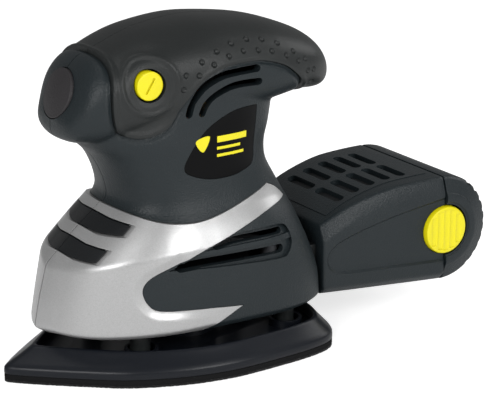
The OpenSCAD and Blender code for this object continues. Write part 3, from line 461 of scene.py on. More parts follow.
def material(name, color, rough, metallic=0.0, grain=3000, depth=0.1, edge=0.0003, spread=0.12,
             coat=0.0, coat_rough=0.1, specular=0.5, sheen=0.0):
    if not GROUPS:
        GROUPS["grain"], GROUPS["tone"] = grain_group(), tone_group()
    m = bpy.data.materials.new(name)
    m.use_nodes = True
    n, link = m.node_tree.nodes, m.node_tree.links.new
    p = n["Principled BSDF"]
    g, t = n.new("ShaderNodeGroup"), n.new("ShaderNodeGroup")
    g.node_tree, t.node_tree = GROUPS["grain"], GROUPS["tone"]
    g.inputs["Scale"].default_value, g.inputs["Depth"].default_value = grain, depth
    g.inputs["Edge radius"].default_value = edge
    t.inputs["Color"].default_value, t.inputs["Roughness"].default_value = color, rough
    t.inputs["Spread"].default_value = spread
    link(t.outputs["Color"], p.inputs["Base Color"])
    link(t.outputs["Roughness"], p.inputs["Roughness"])
    link(g.outputs["Normal"], p.inputs["Normal"])
    p.inputs["Metallic"].default_value = metallic
    p.inputs["Coat Weight"].default_value, p.inputs["Coat Roughness"].default_value = coat, coat_rough
    p.inputs["Specular IOR Level"].default_value = specular
    p.inputs["Sheen Weight"].default_value = sheen
    return m


def silver_material(color):
    """Metallic paint: flakes that catch the light one by one under a clear coat."""
    m = material("Silver paint", color, 0.4, metallic=0.6, grain=3600, depth=0.03, coat=0.35,
                 coat_rough=0.12, spread=0.04)
    n, link = m.node_tree.nodes, m.node_tree.links.new
    tone = next(x for x in n if x.type == "GROUP" and x.node_tree == GROUPS["tone"])
    tc, vor, mix = n.new("ShaderNodeTexCoord"), n.new("ShaderNodeTexVoronoi"), n.new("ShaderNodeMix")
    vor.inputs["Scale"].default_value = 4200
    mix.data_type, mix.blend_type = "RGBA", "OVERLAY"
    mix.inputs["Factor"].default_value = 0.12
    link(tc.outputs["Object"], vor.inputs["Vector"])
    link(tone.outputs["Color"], mix.inputs["A"])
    link(vor.outputs["Color"], mix.inputs["B"])
    sat = n.new("ShaderNodeHueSaturation")
    sat.inputs["Saturation"].default_value = 0.05
    link(mix.outputs["Result"], sat.inputs["Color"])
    link(sat.outputs["Color"], n["Principled BSDF"].inputs["Base Color"])
    return m


MATS = {}


def make_materials(s):
    MATS.clear()
    MATS.update(
        body=material("Dark slate plastic", (*s.body_color, 1), 0.42, depth=1.0, grain=1400, specular=0.3),
        grip=material("Overmoulded rubber", (*s.grip_color, 1), 0.44, depth=0.5, grain=1800, specular=0.36),
        boot=material("Boot rubber", srgb(42, 40, 42), 0.6, depth=1.0, grain=1300, specular=0.35),
        silver=silver_material((*s.silver_color, 1)),
        gloss=material("Glossy black", srgb(9, 9, 10), 0.3, depth=0.02, specular=0.08),
        yellow=material("Yellow plastic", (*s.yellow_color, 1), 0.33, depth=0.05, spread=0.04),
        platen=material("Platen black", srgb(18, 21, 27), 0.34, depth=0.1, grain=1200, specular=0.25),
        foam=material("Foam edge", srgb(20, 20, 21), 0.95, depth=1.0, grain=1500, specular=0.15),
        hook=material("Hook pile", srgb(24, 24, 25), 1.0, depth=1.0, grain=2600, specular=0.1, sheen=0.3),
        mesh=material("Filter mesh", srgb(24, 26, 28), 0.7, depth=1.0, grain=900),
        dark=material("Black plastic", srgb(20, 22, 24), 0.45, depth=0.6, grain=1500, specular=0.3),
        ivory=material("Natural nylon", srgb(222, 214, 190), 0.45),
        board=material("Printed board", srgb(24, 92, 52), 0.4),
        steel=material("Ground steel", srgb(190, 192, 196), 0.3, metallic=1.0, depth=0.05),
        lamination=material("Laminated steel", srgb(84, 87, 92), 0.5, metallic=0.7, depth=0.5),
        copper=material("Enamelled copper", srgb(184, 98, 48), 0.32, metallic=0.9, depth=0.3),
        brass=material("Pressed brass", srgb(200, 164, 88), 0.3, metallic=1.0),
        carbon=material("Pressed carbon", srgb(44, 44, 46), 0.6),
        cast=material("Die cast metal", srgb(78, 80, 83), 0.6, metallic=0.5, depth=0.5),
        fleece=material("Filter fleece", srgb(206, 204, 196), 0.95, depth=1.0, grain=900))


SLOT_MATS = {"shell_plastic": "body", "grip_rubber": "grip", "silver_plastic": "silver",
             "badge_plastic": "gloss", "yellow_plastic": "yellow", "platen_plastic": "platen",
             "pad_foam": "foam", "hook_fabric": "hook", "fleece": "fleece", "black_plastic": "dark",
             "ivory_plastic": "ivory", "board": "board", "steel": "steel", "laminations": "lamination",
             "copper": "copper", "brass": "brass", "carbon": "carbon", "cast_metal": "cast"}

# ---- the housing's shared surface ---------------------------------------------------------------

SHAPES = {}


def fairing_line():
    pts = ARM + BAY[1:] + TOE[1:]
    corners = {i for i, p in enumerate(pts) if tuple(p) in FAIRING_CORNERS}
    return [tuple(p) for p in through(pts, 4, True, corners)]


def grip_line():
    corners = {0, 1, len(GRIP) - 1, len(GRIP) - 2, len(GRIP) - 3}
    return [tuple(p) for p in through(GRIP, 3, True, corners)]


def skin_solid(name, d, mouth=0.0, fine=True):
    rows = [list(r) for r in BODY]
    rows[0][1] -= mouth
    rows[0][3] -= mouth
    n, m = (120, 96) if fine else (64, 48)
    k = 4 if fine else 2
    trunk = loft(name, [body_ring(r, d, n) for r in through(rows, k, corners={1, 3, 5})])
    hand = loft(name + "_hand", [handle_ring(h, d, m) for h in through(HANDLE, k)])
    return combine(trunk, hand, "UNION")


def master():
    """The whole outer surface, evenly meshed, its neck and handle blended."""
    if "master" not in SHAPES:
        SHAPES["master"] = even_mesh(skin_solid("master", 0), 0.75, 9)
        SHAPES["bed"] = skin_solid("bed", PANEL_BED, fine=False)
        SHAPES["cavity"] = skin_solid("cavity", SHELL_DEPTH, MOUTH_DROP, fine=False)
    return SHAPES["master"]


def raised(name, height):
    """A copy of the master, moved out along its normals by a function of place."""
    o = copy(master(), name)
    p, n = points_of(o), normals_of(o)
    move_points(o, p + n * height(p)[:, None])
    return o


def surface_y(x, z):
    """How far out the left side of the master lies at x, z."""
    if "tree" not in SHAPES:
        o = master()
        SHAPES["tree"] = BVHTree.FromPolygons([v.co for v in o.data.vertices],
                                              [p.vertices for p in o.data.polygons])
    hit = SHAPES["tree"].ray_cast(Vector((x * MM, -0.09, z * MM)), Vector((0, 1, 0)))
    return hit[0].y / MM if hit[0] else None


def keel(p):
    """A sharp ridge down the front of the body, along the seam, and the foot's chamfer."""
    front = ramp((-26 - p[:, 0]) / 20) * ramp((p[:, 2] - 14) / 5) * (1 - ramp((p[:, 2] - 62) / 10))
    return (np.clip(0.6 - 0.06 * np.abs(p[:, 1]), 0, 1) * front
            - 1.3 * np.clip((21.3 - p[:, 2]) / 4.3, 0, 1))


def dish(p):
    """The dial's shallow dish on the left side, with its raised ring."""
    r = np.hypot(p[:, 0] - DIAL_AT[0], p[:, 2] - DIAL_AT[1])
    left = p[:, 1] < 0
    return left * (0.4 * np.exp(-((r - DISH_R - 0.5) / 0.8) ** 2) - 0.55 * ramp((DISH_R - r) / 0.9)
                   - 1.15 * ramp((DISH_R - 0.8 - r) / 4.4))


def grip_lip():
    """The grip's lower edge in the side view, without its upper corners."""
    return through(GRIP[1:23], 4)


def inlet_hole():
    return rod("cut", GLAND_R, 60, along_x(INLET_X, INLET_Z))


def dial_hole():
    return rod("cut", DIAL_R + DIAL_GAP, 40, across(*DIAL_AT) @ Matrix.Translation((0, 0, 6)), 64)


def screw_hole(at, start):
    return rod("cut", SCREW_R, 60, across(*at, 1) @ Matrix.Translation((0, 0, start)), 40)


def halves(o, names, seam=0.2):
    right = copy(o, names[1])
    o.name = o.data.name = names[0]
    combine(o, box("cut", (-200, -seam, -50), (200, 200, 250)))
    combine(right, box("cut", (-200, -200, -50), (200, seam, 250)))
    return o, right


def panel(name, surface, outline, gap, *slots):
    """A panel that lies in the shells: a surface less its bed, cut to an outline."""
    combine(surface, SHAPES["bed"], keep=True)
    combine(surface, prism("cut", outline, grow=-gap), "INTERSECT")
    for s in slots:
        combine(surface, prism("cut", s, grow=gap))
    surface.name = surface.data.name = name
    return surface


def colour(name, description, *rgb):
    return bpy.props.FloatVectorProperty(name=name, description=description, subtype="COLOR", size=3,
                                         min=0, max=1, default=srgb(*rgb)[:3])


class SanderSettings(bpy.types.PropertyGroup):
    """The settings that the operators read"""

    body_color: colour("Body colour", "Colour of the plastic shells", 27, 34, 37)
    grip_color: colour("Grip colour", "Colour of the rubber grips", 27, 30, 30)
    silver_color: colour("Fairing colour", "Colour of the silver paint", 168, 170, 173)
    yellow_color: colour("Button colour", "Colour of the dial and the latch buttons", 226, 214, 6)
    panel_gap: bpy.props.FloatProperty(name="Panel gap", description="Gap round the panels, in millimetres",
                                       default=0.2, min=0.05, max=0.5)
    fuzz: bpy.props.FloatProperty(name="Pile fuzz",
                                  description="How far the pile's edge strays, in millimetres",
                                  default=0.22, min=0, max=1)


class SANDER_OT_housing(bpy.types.Operator):
    """Builds the two shells, with their bars, vents and openings"""
    bl_idname = "sander.housing"
    bl_label = "Housing"

    def execute(self, context):
        s = context.scene.sander
        gap = s.panel_gap
        fairing, grip = fairing_line(), grip_line()
        lip = grip_lip()

        def height(p):
            d = near(p, lip)
            groove = -1.1 * np.exp(-((d - 0.4) / 1.1) ** 2)
            return groove * (p[:, 2] > 95) + keel(p)

        o = raised("housing_left_shell", height)
        bed = SHAPES["bed"]
        badge = through(BADGE, 3, True)
        for outline, slots in ((grip, ()), (fairing, (BAR_UPPER, BAR_LOWER)), (badge, ())):
            tool = prism("cut", [tuple(q) for q in outline])
            for bar in slots:
                combine(tool, prism("cut", bar, grow=-gap))
            combine(tool, bed, keep=True)
            combine(o, tool)
        combine(o, SHAPES["cavity"], keep=True)
        # the exhaust: a hollow let into the side, with a rib between its two slots
        shallow = skin_solid("shallow", 1.6, fine=False)
        hollow = through([(-25.5, 46.2), (-12, 51.6), (1, 56.4), (10, 57.2), (26.8, 57), (31, 54.4),
                          (31.8, 49), (29.4, 44.6), (24, 43.6), (0, 44.8)], 3, True, {0})
        rib = band([(-14, 51.2), (5, 51.6), (36, 51.8)], 1.0)
        tool = prism("cut", [tuple(q) for q in hollow])
        combine(tool, shallow, keep=True)
        ribbed = prism("rib", rib)
        combine(ribbed, skin_solid("proud", 0.45, fine=False), "INTERSECT")
        combine(tool, ribbed)
        combine(o, tool)
        bpy.data.objects.remove(shallow)
        combine(o, prism("cut", band([(-4.5, 53.4), (5, 54.5), (15, 54.5), (26.6, 54.3)], 1.35)))
        combine(o, prism("cut", band([(-20.5, 46.9), (-10, 47.4), (5, 47.4), (26, 47.2)], 1.8)))
        combine(o, prism("cut", band(SLOT_OUTER, 1.5)))
        combine(o, prism("cut", band(SLOT_INNER, 1.5)))
        combine(o, box("cut", (COLLAR, -80, -20), (90, 80, 47.8)))
        combine(o, box("cut", (30, -21.3, 21.2), (90, 21.3, 39.3)))
        combine(o, rod("cut", BOOT_R + 0.35, 40, at_nose() @ Matrix.Translation((0, 0, -12)), 96))
        combine(o, inlet_hole())
        combine(o, dial_hole())
        for at in SCREWS:
            combine(o, screw_hole(at, 15))
        left, right = halves(o, ("housing_left_shell", "housing_right_shell"))
        finish_piece(left, MATS["body"], "housing", ["housing_left"])
        finish_piece(right, MATS["body"], "housing", ["housing_right"])

        # the bars stand proud of the fairing through its slots
        bars = raised("nose_bars", lambda p: 1.15 + keel(p))
        keep = join("keep", prism("a", BAR_UPPER, -22, 22, -0.35), prism("b", BAR_LOWER, -22, 22, -0.35))
        combine(bars, bed, keep=True)
        combine(bars, keep, "INTERSECT")
        a, b = halves(even_mesh(bars, 0.3, 6), ("nose_bars_left", "nose_bars_right"))
        for q in (a, b):
            finish_piece(q, MATS["dark"], "housing", (), 60)
        return {"FINISHED"}


class SANDER_OT_panels(bpy.types.Operator):
    """Builds the grip, the silver fairings and the badges"""
    bl_idname = "sander.panels"
    bl_label = "Grip, fairings and badges"

    def execute(self, context):
        gap = context.scene.sander.panel_gap
        master()
        lip = grip_lip()

        def grip_height(p):
            d = near(p, lip)
            front = 0.35 + 0.65 * ramp((-20 - p[:, 0]) / 22)
            return 0.1 + 0.85 * front * np.exp(-((d - 1.3) / 1.0) ** 2) + dish(p)

        grip = panel("grip", raised("grip", grip_height), grip_line(), gap)
        combine(grip, dial_hole())
        combine(grip, inlet_hole())
        combine(grip, screw_hole(GRIP_SCREW, 10))
        dots = []
        for side in (-1, 1):
            for x, z in DIMPLES:
                y = surface_y(x, z)
                if y is None:
                    continue
                bpy.ops.mesh.primitive_ico_sphere_add(subdivisions=3, radius=1)
                b = bpy.context.object
                centre = Matrix.Translation((x * MM, -side * (y - 0.75) * MM, z * MM))
                b.data.transform(centre @ Matrix.Scale(1.45 * MM, 4))
                b.matrix_world = Matrix.Identity(4)
                dots.append(b)
        combine(grip, join("cut", *dots))
        a, b = halves(grip, ("grip_left_panel", "grip_right_panel"), 0.16)
        finish_piece(a, MATS["grip"], "housing", ["grip_left"])
        finish_piece(b, MATS["grip"], "housing", ["grip_right"])

        bay = [tuple(p) for p in through(ARM[-2:] + BAY[1:-1], 5)]

        def silver_height(p):
            d = near(p, bay)
            left = ramp((-4 - p[:, 0]) / 22)
            bevel = (0.25 + 1.15 * left) * np.clip((d - 0.4) / 3.4, 0, 1)
            return bevel * ramp((p[:, 2] - 16) / 6) + keel(p)

        silver = panel("fairing", raised("fairing", silver_height), fairing_line(), gap,
                       BAR_UPPER, BAR_LOWER)
        combine(silver, screw_hole(FAIRING_SCREW, 10))
        a, b = halves(silver, ("fairing_left_panel", "fairing_right_panel"), 0.28)
        finish_piece(a, MATS["silver"], "housing", ["fairing_left"])
        finish_piece(b, MATS["silver"], "housing", ["fairing_right"])

        badge = panel("badge", raised("badge", lambda p: np.full(len(p), -0.1)),
                      [tuple(p) for p in through(BADGE, 3, True)], 0.1)
        a, b = halves(badge, ("badge_left_plate", "badge_right_plate"), 5)
        finish_piece(a, MATS["gloss"], "housing", ["badge_left"])
        finish_piece(b, MATS["gloss"], "housing", ["badge_right"])

        # a plain mark: a rounded triangle and three bars
        marks = [through([(-8.6, 95.2), (-5.2, 90.4), (-2.2, 96.6)], 6, True),
                 [(1.2, 96.2), (1.2, 93.6), (15.8, 93.6), (15.8, 96.2)],
                 [(1.2, 91.8), (1.2, 90.6), (12.6, 90.6), (12.6, 91.8)],
                 [(1.2, 88.8), (1.2, 87.6), (14.4, 87.6), (14.4, 88.8)]]
        for name, chosen in (("badge_mark", marks[:1]), ("badge_bars", marks[1:])):
            o = raised(name, lambda p: np.full(len(p), 0.02))
            combine(o, SHAPES["bed"], keep=True)
            combine(o, join("keep", *[prism("m", [tuple(q) for q in m]) for m in chosen]), "INTERSECT")
            inner = raised("inner", lambda p: np.full(len(p), -0.14))
            combine(o, inner)
            finish_piece(o, MATS["yellow"], "housing")
        return {"FINISHED"}


class SANDER_OT_controls(bpy.types.Operator):
    """Builds the nose switch's boot and the speed dial"""
    bl_idname = "sander.controls"
    bl_label = "Controls"

    def execute(self, context):
        edge, rise = 0.9, 1.25
        flat = BOOT_R - edge
        rim = [(flat + edge * cos(a), -0.5 + edge * sin(a) * 0.6) for a in np.linspace(pi / 2, 0, 7)]
        dome = [(r, rise * (1 - (r / flat) ** 2) + 0.04) for r in np.linspace(0, flat, 12)[1:-1]]
        o = lathe("boot", [(AXIS, rise + 0.04)] + dome + rim + [(BOOT_R, -5), (AXIS, -5)], at_nose())
        finish_piece(o, MATS["boot"], "switch", ["switch_boot"])
        face = DIAL_FACE
        e = 0.6
        edge = [(DIAL_R - e + e * sin(a), face - e + e * cos(a)) for a in np.linspace(0, pi / 2, 5)]
        o = lathe("dial", [(AXIS, face), *edge, (DIAL_R, face - 9), (AXIS, face - 9)], across(*DIAL_AT))
        slot = box("cut", (-0.45, -3.4, face - 0.8), (0.45, 3.4, face + 3))
        combine(o, put(slot, across(*DIAL_AT) @ Matrix.Rotation(radians(-33), 4, "Z")))
        finish_piece(o, MATS["yellow"], "dial", ["speed_dial"])
        return {"FINISHED"}


def pad_outline():
    pts = ([(PAD_TIP + PAD_L * a, -PAD_HALF * b) for a, b in PAD_EDGE]
           + [(PAD_TIP + PAD_L * a, PAD_HALF * b) for a, b in PAD_EDGE[:0:-1]])
    return [tuple(p) for p in through(pts, 8, True)]


def pad_ring(line, tip, side, z):
    out = []
    for x, y in line:
        u = (x - PAD_TIP) / PAD_L
        out.append((x + tip * (1 - u) ** 2 - side * u * u, y * (1 - side / PAD_HALF), z))
    return out


class SANDER_OT_pad(bpy.types.Operator):
    """Builds the platen, the foam pad and the hook layer"""
    bl_idname = "sander.pad"
    bl_label = "Pad"

    def execute(self, context):
        line = pad_outline()
        outer = [(0.3, 0.3, 3.5), (0, 0, 3.8), (0, 0, 5.1), (0.15, 0.05, 6.2), (1.0, 0.35, 6.9),
                 (3.6, 1.5, 8.2), (7.6, 3.3, 10.2), (11.2, 4.9, 12.2), (12.4, 5.4, 12.9),
                 (13.2, 5.8, 13.2)]
        inner = [(14.0, 6.3, 13.2), (14.6, 6.7, 13.0), (14.6, 6.9, 12.4), (12.6, 6.2, 9.4),
                 (12.4, 6.2, 8.2), (13.6, 6.8, 7.8)]
        o = loft("platen_tray", [pad_ring(line, *r) for r in outer + inner])
        hub = rod("hub", HUB_R, 10.4, Matrix.Translation((ORBIT, 0, TRAY_Z)), 96)
        combine(hub, rod("cut", HUB_BORE, 20, Matrix.Translation((ORBIT, 0, 9.9)), 96))
        combine(o, hub, "UNION")
        for x, y in POSTS:
            cup = rod("cup", CUP_R, 4, Matrix.Translation((x + ORBIT, y, TRAY_Z)), 48)
            combine(cup, rod("cut", CUP_BORE, 9, Matrix.Translation((x + ORBIT, y, 7.9)), 48))
            combine(o, cup, "UNION")
        combine(o, rod("cut", 7.6, 40, Matrix.Translation((ORBIT, 0, 0)), 64))
        finish_piece(o, MATS["platen"], "pad", ["platen"], 50)
        rng = np.random.default_rng(7)
        fuzz = context.scene.sander.fuzz
        for name, zs, node, mat, slot, stray in (
                ("foam", (1.15, 1.4, 1.9, 2.5, 3.1, 3.45), "foam_pad", "foam", "pad_foam", 0.06),
                ("pile", (0.02, 0.25, 0.5, 0.7, 0.9, 1.1), "hook_layer", "hook", "hook_fabric", fuzz)):
            rings = []
            for k, z in enumerate(zs):
                inset = 0.35 if k in (0, len(zs) - 1) else 0.05
                ring = pad_ring([tuple(p) for p in through(line, 4, True)], inset, inset, z)
                frayed = np.abs(rng.normal(0, stray, len(ring)))
                rings.append([(x * (1 - e / 60), y * (1 - e / PAD_HALF), z)
                              for (x, y, z), e in zip(ring, frayed)])
            o = loft(name, rings)
            finish_piece(o, MATS[mat], "pad", [node], 60)
        return {"FINISHED"}


def box_section(x, w, tw, z0, z1, d):
    return [(x, -w / 2 + d, z0 + FOOT), (x, -w / 2 + FOOT, z0 + d), (x, w / 2 - FOOT, z0 + d),
            (x, w / 2 - d, z0 + FOOT), (x, w / 2 - d, z1 - SHOULDER), (x, tw / 2 - d * 0.4, z1 - d),
            (x, -tw / 2 + d * 0.4, z1 - d), (x, -w / 2 + d, z1 - SHOULDER)]


def box_solid(name, d):
    """The box, its top arched along its length."""
    rows = through([(BOX_X, BOX_FW, 51, 19, 49.6), (67, 59.6, 54.4, 18.3, 56.6),
                    (85, 62.2, 58.2, 17.4, 61.2), (100, 64.2, 60.2, 16.6, 62.3),
                    (SEAM_X, BOX_W, BOX_TW, 16, BOX_Z2)], 4)
    rings = [box_section(x, w, tw, z0, z1, d) for x, w, tw, z0, z1 in rows]
    rings[0] = [(x + d, y, z) for x, y, z in rings[0]]
    if d > 0:
        rings[-1] = [(x + 1, y, z) for x, y, z in rings[-1]]
    return loft(name, rings)


def box_side(x):
    """Half the width of the box at x."""
    return np.interp(x, [BOX_X, 67, 85, 100, SEAM_X], [BOX_FW / 2, 29.8, 31.1, 32.1, BOX_W / 2])


def arch(o):
    """Bends a piece made for the straight top to the arched one."""
    p = points_of(o)
    rows = np.array(through([(BOX_X, 49.6), (67, 56.6), (85, 61.2), (100, 62.3), (SEAM_X, BOX_Z2)], 4))
    flat = BOX_Z1 + (p[:, 0] - BOX_X) * (BOX_Z2 - BOX_Z1) / (SEAM_X - BOX_X)
    p[:, 2] += np.interp(p[:, 0], rows[:, 0], rows[:, 1]) - flat
    move_points(o, p)
    return o


def set_on_top(o):
    """Lays a piece on the box's straight top, then bends it with the top."""
    slope = math.atan2(BOX_Z2 - BOX_Z1, SEAM_X - BOX_X)
    return arch(put(o, Matrix.Translation((BOX_X, 0, BOX_Z1)) @ Matrix.Rotation(-slope, 4, "Y")))


def fine_box(name, lo, hi):
    """A box with enough points to bend."""
    return modify(box(name, lo, hi), "SUBSURF", subdivision_type="SIMPLE", levels=5, render_levels=5)


def rounded_slot(name, x, y, w, l, z0, z1):
    """A slot with round ends, long in y."""
    r, n = w / 2, 8
    pts = [(x + r * cos(a), y + l / 2 - r + r * sin(a)) for a in np.linspace(0, pi, n)]
    pts += [(x + r * cos(a), y - l / 2 + r + r * sin(a)) for a in np.linspace(pi, 2 * pi, n)]
    return loft(name, [[(p[0], p[1], z) for p in pts] for z in (z0, z1)])


class SANDER_OT_dust_box(bpy.types.Operator):
    """Builds the dust box, its vent panel and its mesh"""
    bl_idname = "sander.dust_box"
    bl_label = "Dust box"

    def execute(self, context):
        o = box_solid("dust_box_shell", 0)
        modify(o, "BEVEL", width=1.2 * MM, segments=3, limit_method="ANGLE", angle_limit=radians(22))
        combine(o, box("cut", (SEAM_X - 0.1, -60, 0), (SEAM_X + 20, 60, 90)))
        for side in (-1, 1):
            tear = through([(55.4, 34.5), (57.4, 30.2), (63, 28.4), (86, 27.2), (114, 25.9),
                            (114, 53), (88, 48.6), (68, 43.6), (58.2, 39.4)], 4, True, {4, 5})
            wide = offset_outline(tear, 1.1)
            combine(o, loft("tear", [[(x, side * (box_side(x) + out), z) for x, z in line]
                                     for line, out in ((wide, 6), (wide, 0.02), (tear, -1.1))]))
        combine(o, box_solid("in", BOX_WALL))
        combine(o, set_on_top(fine_box("cut", (VENT_X - 0.1, -VENT_HALF - 0.15, -4.4),
                                       (VENT_BED, VENT_HALF + 0.15, 10))))
        combine(o, rod("cut", LATCH_R + 0.3, 100, along_y(SEAM_X, CAP_Z), 96))
        wall = SPIGOT_WALL
        combine(o, box("spigot", (38, -SPIGOT_HALF, SPIGOT_Z1), (BOX_X + 1.5, SPIGOT_HALF, SPIGOT_Z2)),
                "UNION")
        combine(o, box("cut", (20, wall - SPIGOT_HALF, SPIGOT_Z1 + wall),
                       (BOX_X + 4, SPIGOT_HALF - wall, SPIGOT_Z2 - wall)))
        finish_piece(o, MATS["body"], "dust_box", ["dust_box"])

        length = math.hypot(BOX_Z2 - BOX_Z1, SEAM_X - BOX_X) - 9
        v = fine_box("vent", (VENT_X, -VENT_HALF, -2.2), (VENT_X + length, VENT_HALF, 0.25))
        first = VENT_X + (length - (VENT_ROWS - 1) * VENT_PITCH) / 2
        cuts = [rounded_slot("s", first + VENT_PITCH * row, side * 10.7, 4.4, 18.6, -6, 4)
                for row in range(VENT_ROWS) for side in (-1, 1)]
        combine(v, join("cut", *cuts))
        set_on_top(v)
        finish_piece(v, MATS["body"], "dust_box", ["vent_panel"])
        rim = 3.2
        f = set_on_top(fine_box("filter", (VENT_X + rim, -19.8, -4.2),
                                (VENT_X + length - rim, 19.8, -2.25)))
        finish_piece(f, MATS["mesh"], "dust_box", ["filter_fleece"])
        return {"FINISHED"}


def drum(name, d):
    """A drum about the latch buttons' axis, d inside the cap's outer shape."""
    w, tw = BOX_W / 2 - d, BOX_TW / 2 - d * 0.4
    prof = [(AXIS, -w), (CAP_R - SHOULDER, -w), (CAP_R - d, -tw),
            (CAP_R - d, tw), (CAP_R - SHOULDER, w), (AXIS, w)]
    return lathe(name, prof, along_y(SEAM_X, CAP_Z, 0), 128)


class SANDER_OT_end_cap(bpy.types.Operator):
    """Builds the end cap and the latch buttons"""
    bl_idname = "sander.end_cap"
    bl_label = "End cap and latch buttons"

    def execute(self, context):
        o = drum("cap_shell", 0)
        modify(o, "BEVEL", width=1.8 * MM, segments=4, limit_method="ANGLE", angle_limit=radians(25))
        for a in np.linspace(-52, 52, 9):
            turn = Matrix.Translation((SEAM_X, 0, CAP_Z)) @ Matrix.Rotation(radians(-a), 4, "Y")
            combine(o, rod("cut", 1.75, 90, turn @ along_y(CAP_R + 0.2, 0, 45), 24))
        for side in (-1, 1):
            prof = [(LATCH_R + out, BOX_W / 2 + up) for out, up in
                    ((1.6, -1), (1.6, 0.2), (2.1, 0.65), (4.4, 0.75), (5.6, 0.3), (6.4, -1.2), (1.6, -1))]
            combine(o, lathe("ring", prof, across(SEAM_X, CAP_Z, side), 96), "UNION")
        combine(o, drum("in", BOX_WALL))
        combine(o, box("cut", (0, -60, 0), (SEAM_X + 0.2, 60, 90)))
        combine(o, rod("cut", LATCH_R + 0.8, 100, along_y(SEAM_X, CAP_Z), 96))
        finish_piece(o, MATS["body"], "end_cap", ["end_cap"])
        for side, word in ((-1, "left"), (1, "right")):
            f = BOX_W / 2 + 0.6
            prof = [(AXIS, f), (LATCH_R - 0.9, f), (LATCH_R - 0.3, f - 0.25), (LATCH_R, f - 0.9),
                    (LATCH_R, f - 4), (3, f - 4), (3, 17), (AXIS, 17)]
            b = lathe(f"latch_{word}_button", prof, across(SEAM_X, CAP_Z, side))
            cuts = []
            for k in range(-2, 3):
                half = math.sqrt(max((LATCH_R - 1.6) ** 2 - (3.2 * k) ** 2, 1))
                c = rod("cut", 2.6, 2 * half, along_y(3.2 * k, f + 2.1, half), 48)
                put(c, across(SEAM_X, CAP_Z, side))
                if side > 0:
                    c.data.flip_normals()
                cuts.append(c)
            combine(b, join("cut", *cuts))
            finish_piece(b, MATS["yellow"], f"latch_{word}", [f"latch_button_{word}"])
        return {"FINISHED"}


class SANDER_OT_carried_over(bpy.types.Operator):
    """Gives each part of the frame that still shows its own finish"""
    bl_idname = "sander.carried_over"
    bl_label = "Carried-over parts"

    def execute(self, context):
        slots = {s["node"]: s["material_slot"] for s in frame["record"]["subparts"]}
        for name, o in frame["nodes"].items():
            o.data.materials.clear()
            o.data.materials.append(MATS[SLOT_MATS[slots[name]]])
        return {"FINISHED"}


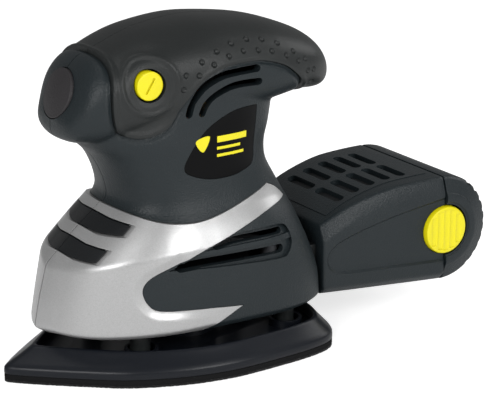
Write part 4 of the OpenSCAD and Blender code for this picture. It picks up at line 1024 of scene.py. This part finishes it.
class SANDER_OT_stage(bpy.types.Operator):
    """Sets up the floor, the light and the camera"""
    bl_idname = "sander.stage"
    bl_label = "Stage"

    def execute(self, context):
        for k in ("master", "bed", "cavity"):
            bpy.data.objects.remove(SHAPES.pop(k))
        bpy.ops.mesh.primitive_plane_add(size=6, location=(0, 0, -0.0003))
        floor = context.object
        floor.name = "floor"
        m = bpy.data.materials.new("Pale floor")
        m.use_nodes = True
        n, link = m.node_tree.nodes, m.node_tree.links.new
        for socket, value in (("Base Color", (0.93, 0.93, 0.93, 1)), ("Roughness", 0.9),
                              ("Emission Color", (1, 1, 1, 1)), ("Specular IOR Level", 0.1)):
            n["Principled BSDF"].inputs[socket].default_value = value
        path, gain = n.new("ShaderNodeLightPath"), n.new("ShaderNodeMath")
        gain.operation = "MULTIPLY_ADD"
        gain.inputs[1].default_value, gain.inputs[2].default_value = 0.5, 0.14
        link(path.outputs["Is Camera Ray"], gain.inputs[0])
        link(gain.outputs[0], n["Principled BSDF"].inputs["Emission Strength"])
        floor.data.materials.append(m)
        world = bpy.data.worlds.new("Studio")
        context.scene.world = world
        world.use_nodes = True
        n, link = world.node_tree.nodes, world.node_tree.links.new
        back, seen = n["Background"], n.new("ShaderNodeBackground")
        path, mix = n.new("ShaderNodeLightPath"), n.new("ShaderNodeMixShader")
        back.inputs["Color"].default_value, back.inputs["Strength"].default_value = (1, 1, 1, 1), 0.26
        seen.inputs["Color"].default_value, seen.inputs["Strength"].default_value = (1, 1, 1, 1), 1.0
        link(path.outputs["Is Camera Ray"], mix.inputs["Fac"])
        link(back.outputs[0], mix.inputs[1])
        link(seen.outputs[0], mix.inputs[2])
        link(mix.outputs[0], n["World Output"].inputs["Surface"])
        target = Vector((0.03222, 0, 0.05735))
        for name, where, size, watts in (("key", (0.2, -0.98, 0.5), 0.45, 5.5),
                                         ("fill", (-0.85, -0.6, 0.6), 0.5, 6.5),
                                         ("back", (1.1, -0.1, 0.7), 0.6, 3.5),
                                         ("top", (-0.2, 0.15, 1.3), 0.4, 1.4)):
            lamp = bpy.data.lights.new(name, "AREA")
            lamp.size, lamp.energy = size, watts
            l = bpy.data.objects.new(name, lamp)
            l.location = where
            l.rotation_euler = (target - Vector(where)).to_track_quat("-Z", "Y").to_euler()
            context.scene.collection.objects.link(l)
        cam = bpy.data.cameras.new("camera")
        cam.sensor_width, cam.lens = 36, 154.07
        cam.clip_start, cam.clip_end = 0.01, 20
        c = bpy.data.objects.new("camera", cam)
        az, el = radians(-32.26), radians(17.2)
        back = Vector((sin(az) * cos(el), -cos(az) * cos(el), sin(el)))
        c.location = target + back * 0.8851
        c.rotation_euler = (-back).to_track_quat("-Z", "Y").to_euler()
        context.scene.collection.objects.link(c)
        context.scene.camera = c
        context.scene.view_settings.view_transform = "Standard"
        return {"FINISHED"}


class SANDER_PT_panel(bpy.types.Panel):
    """Lists the sander's operators and settings"""
    bl_label = "Detail sander"
    bl_space_type = "VIEW_3D"
    bl_region_type = "UI"
    bl_category = "Sander"

    def draw(self, context):
        for name in ("body_color", "grip_color", "silver_color", "yellow_color", "panel_gap", "fuzz"):
            self.layout.prop(context.scene.sander, name)
        for c in OPERATORS:
            self.layout.operator(c.bl_idname)


OPERATORS = (SANDER_OT_housing, SANDER_OT_panels, SANDER_OT_controls, SANDER_OT_pad, SANDER_OT_dust_box,
             SANDER_OT_end_cap, SANDER_OT_carried_over, SANDER_OT_stage)
CLASSES = (SanderSettings, *OPERATORS, SANDER_PT_panel)


def register():
    for c in CLASSES:
        bpy.utils.register_class(c)
    bpy.types.Scene.sander = bpy.props.PointerProperty(type=SanderSettings)


def unregister():
    del bpy.types.Scene.sander
    for c in reversed(CLASSES):
        bpy.utils.unregister_class(c)


def main():
    register()
    make_materials(bpy.context.scene.sander)
    bpy.ops.sander.housing()
    bpy.ops.sander.panels()
    bpy.ops.sander.controls()
    bpy.ops.sander.pad()
    bpy.ops.sander.dust_box()
    bpy.ops.sander.end_cap()
    bpy.ops.sander.carried_over()
    bpy.ops.sander.stage()


if __name__ == "__main__":
    main()
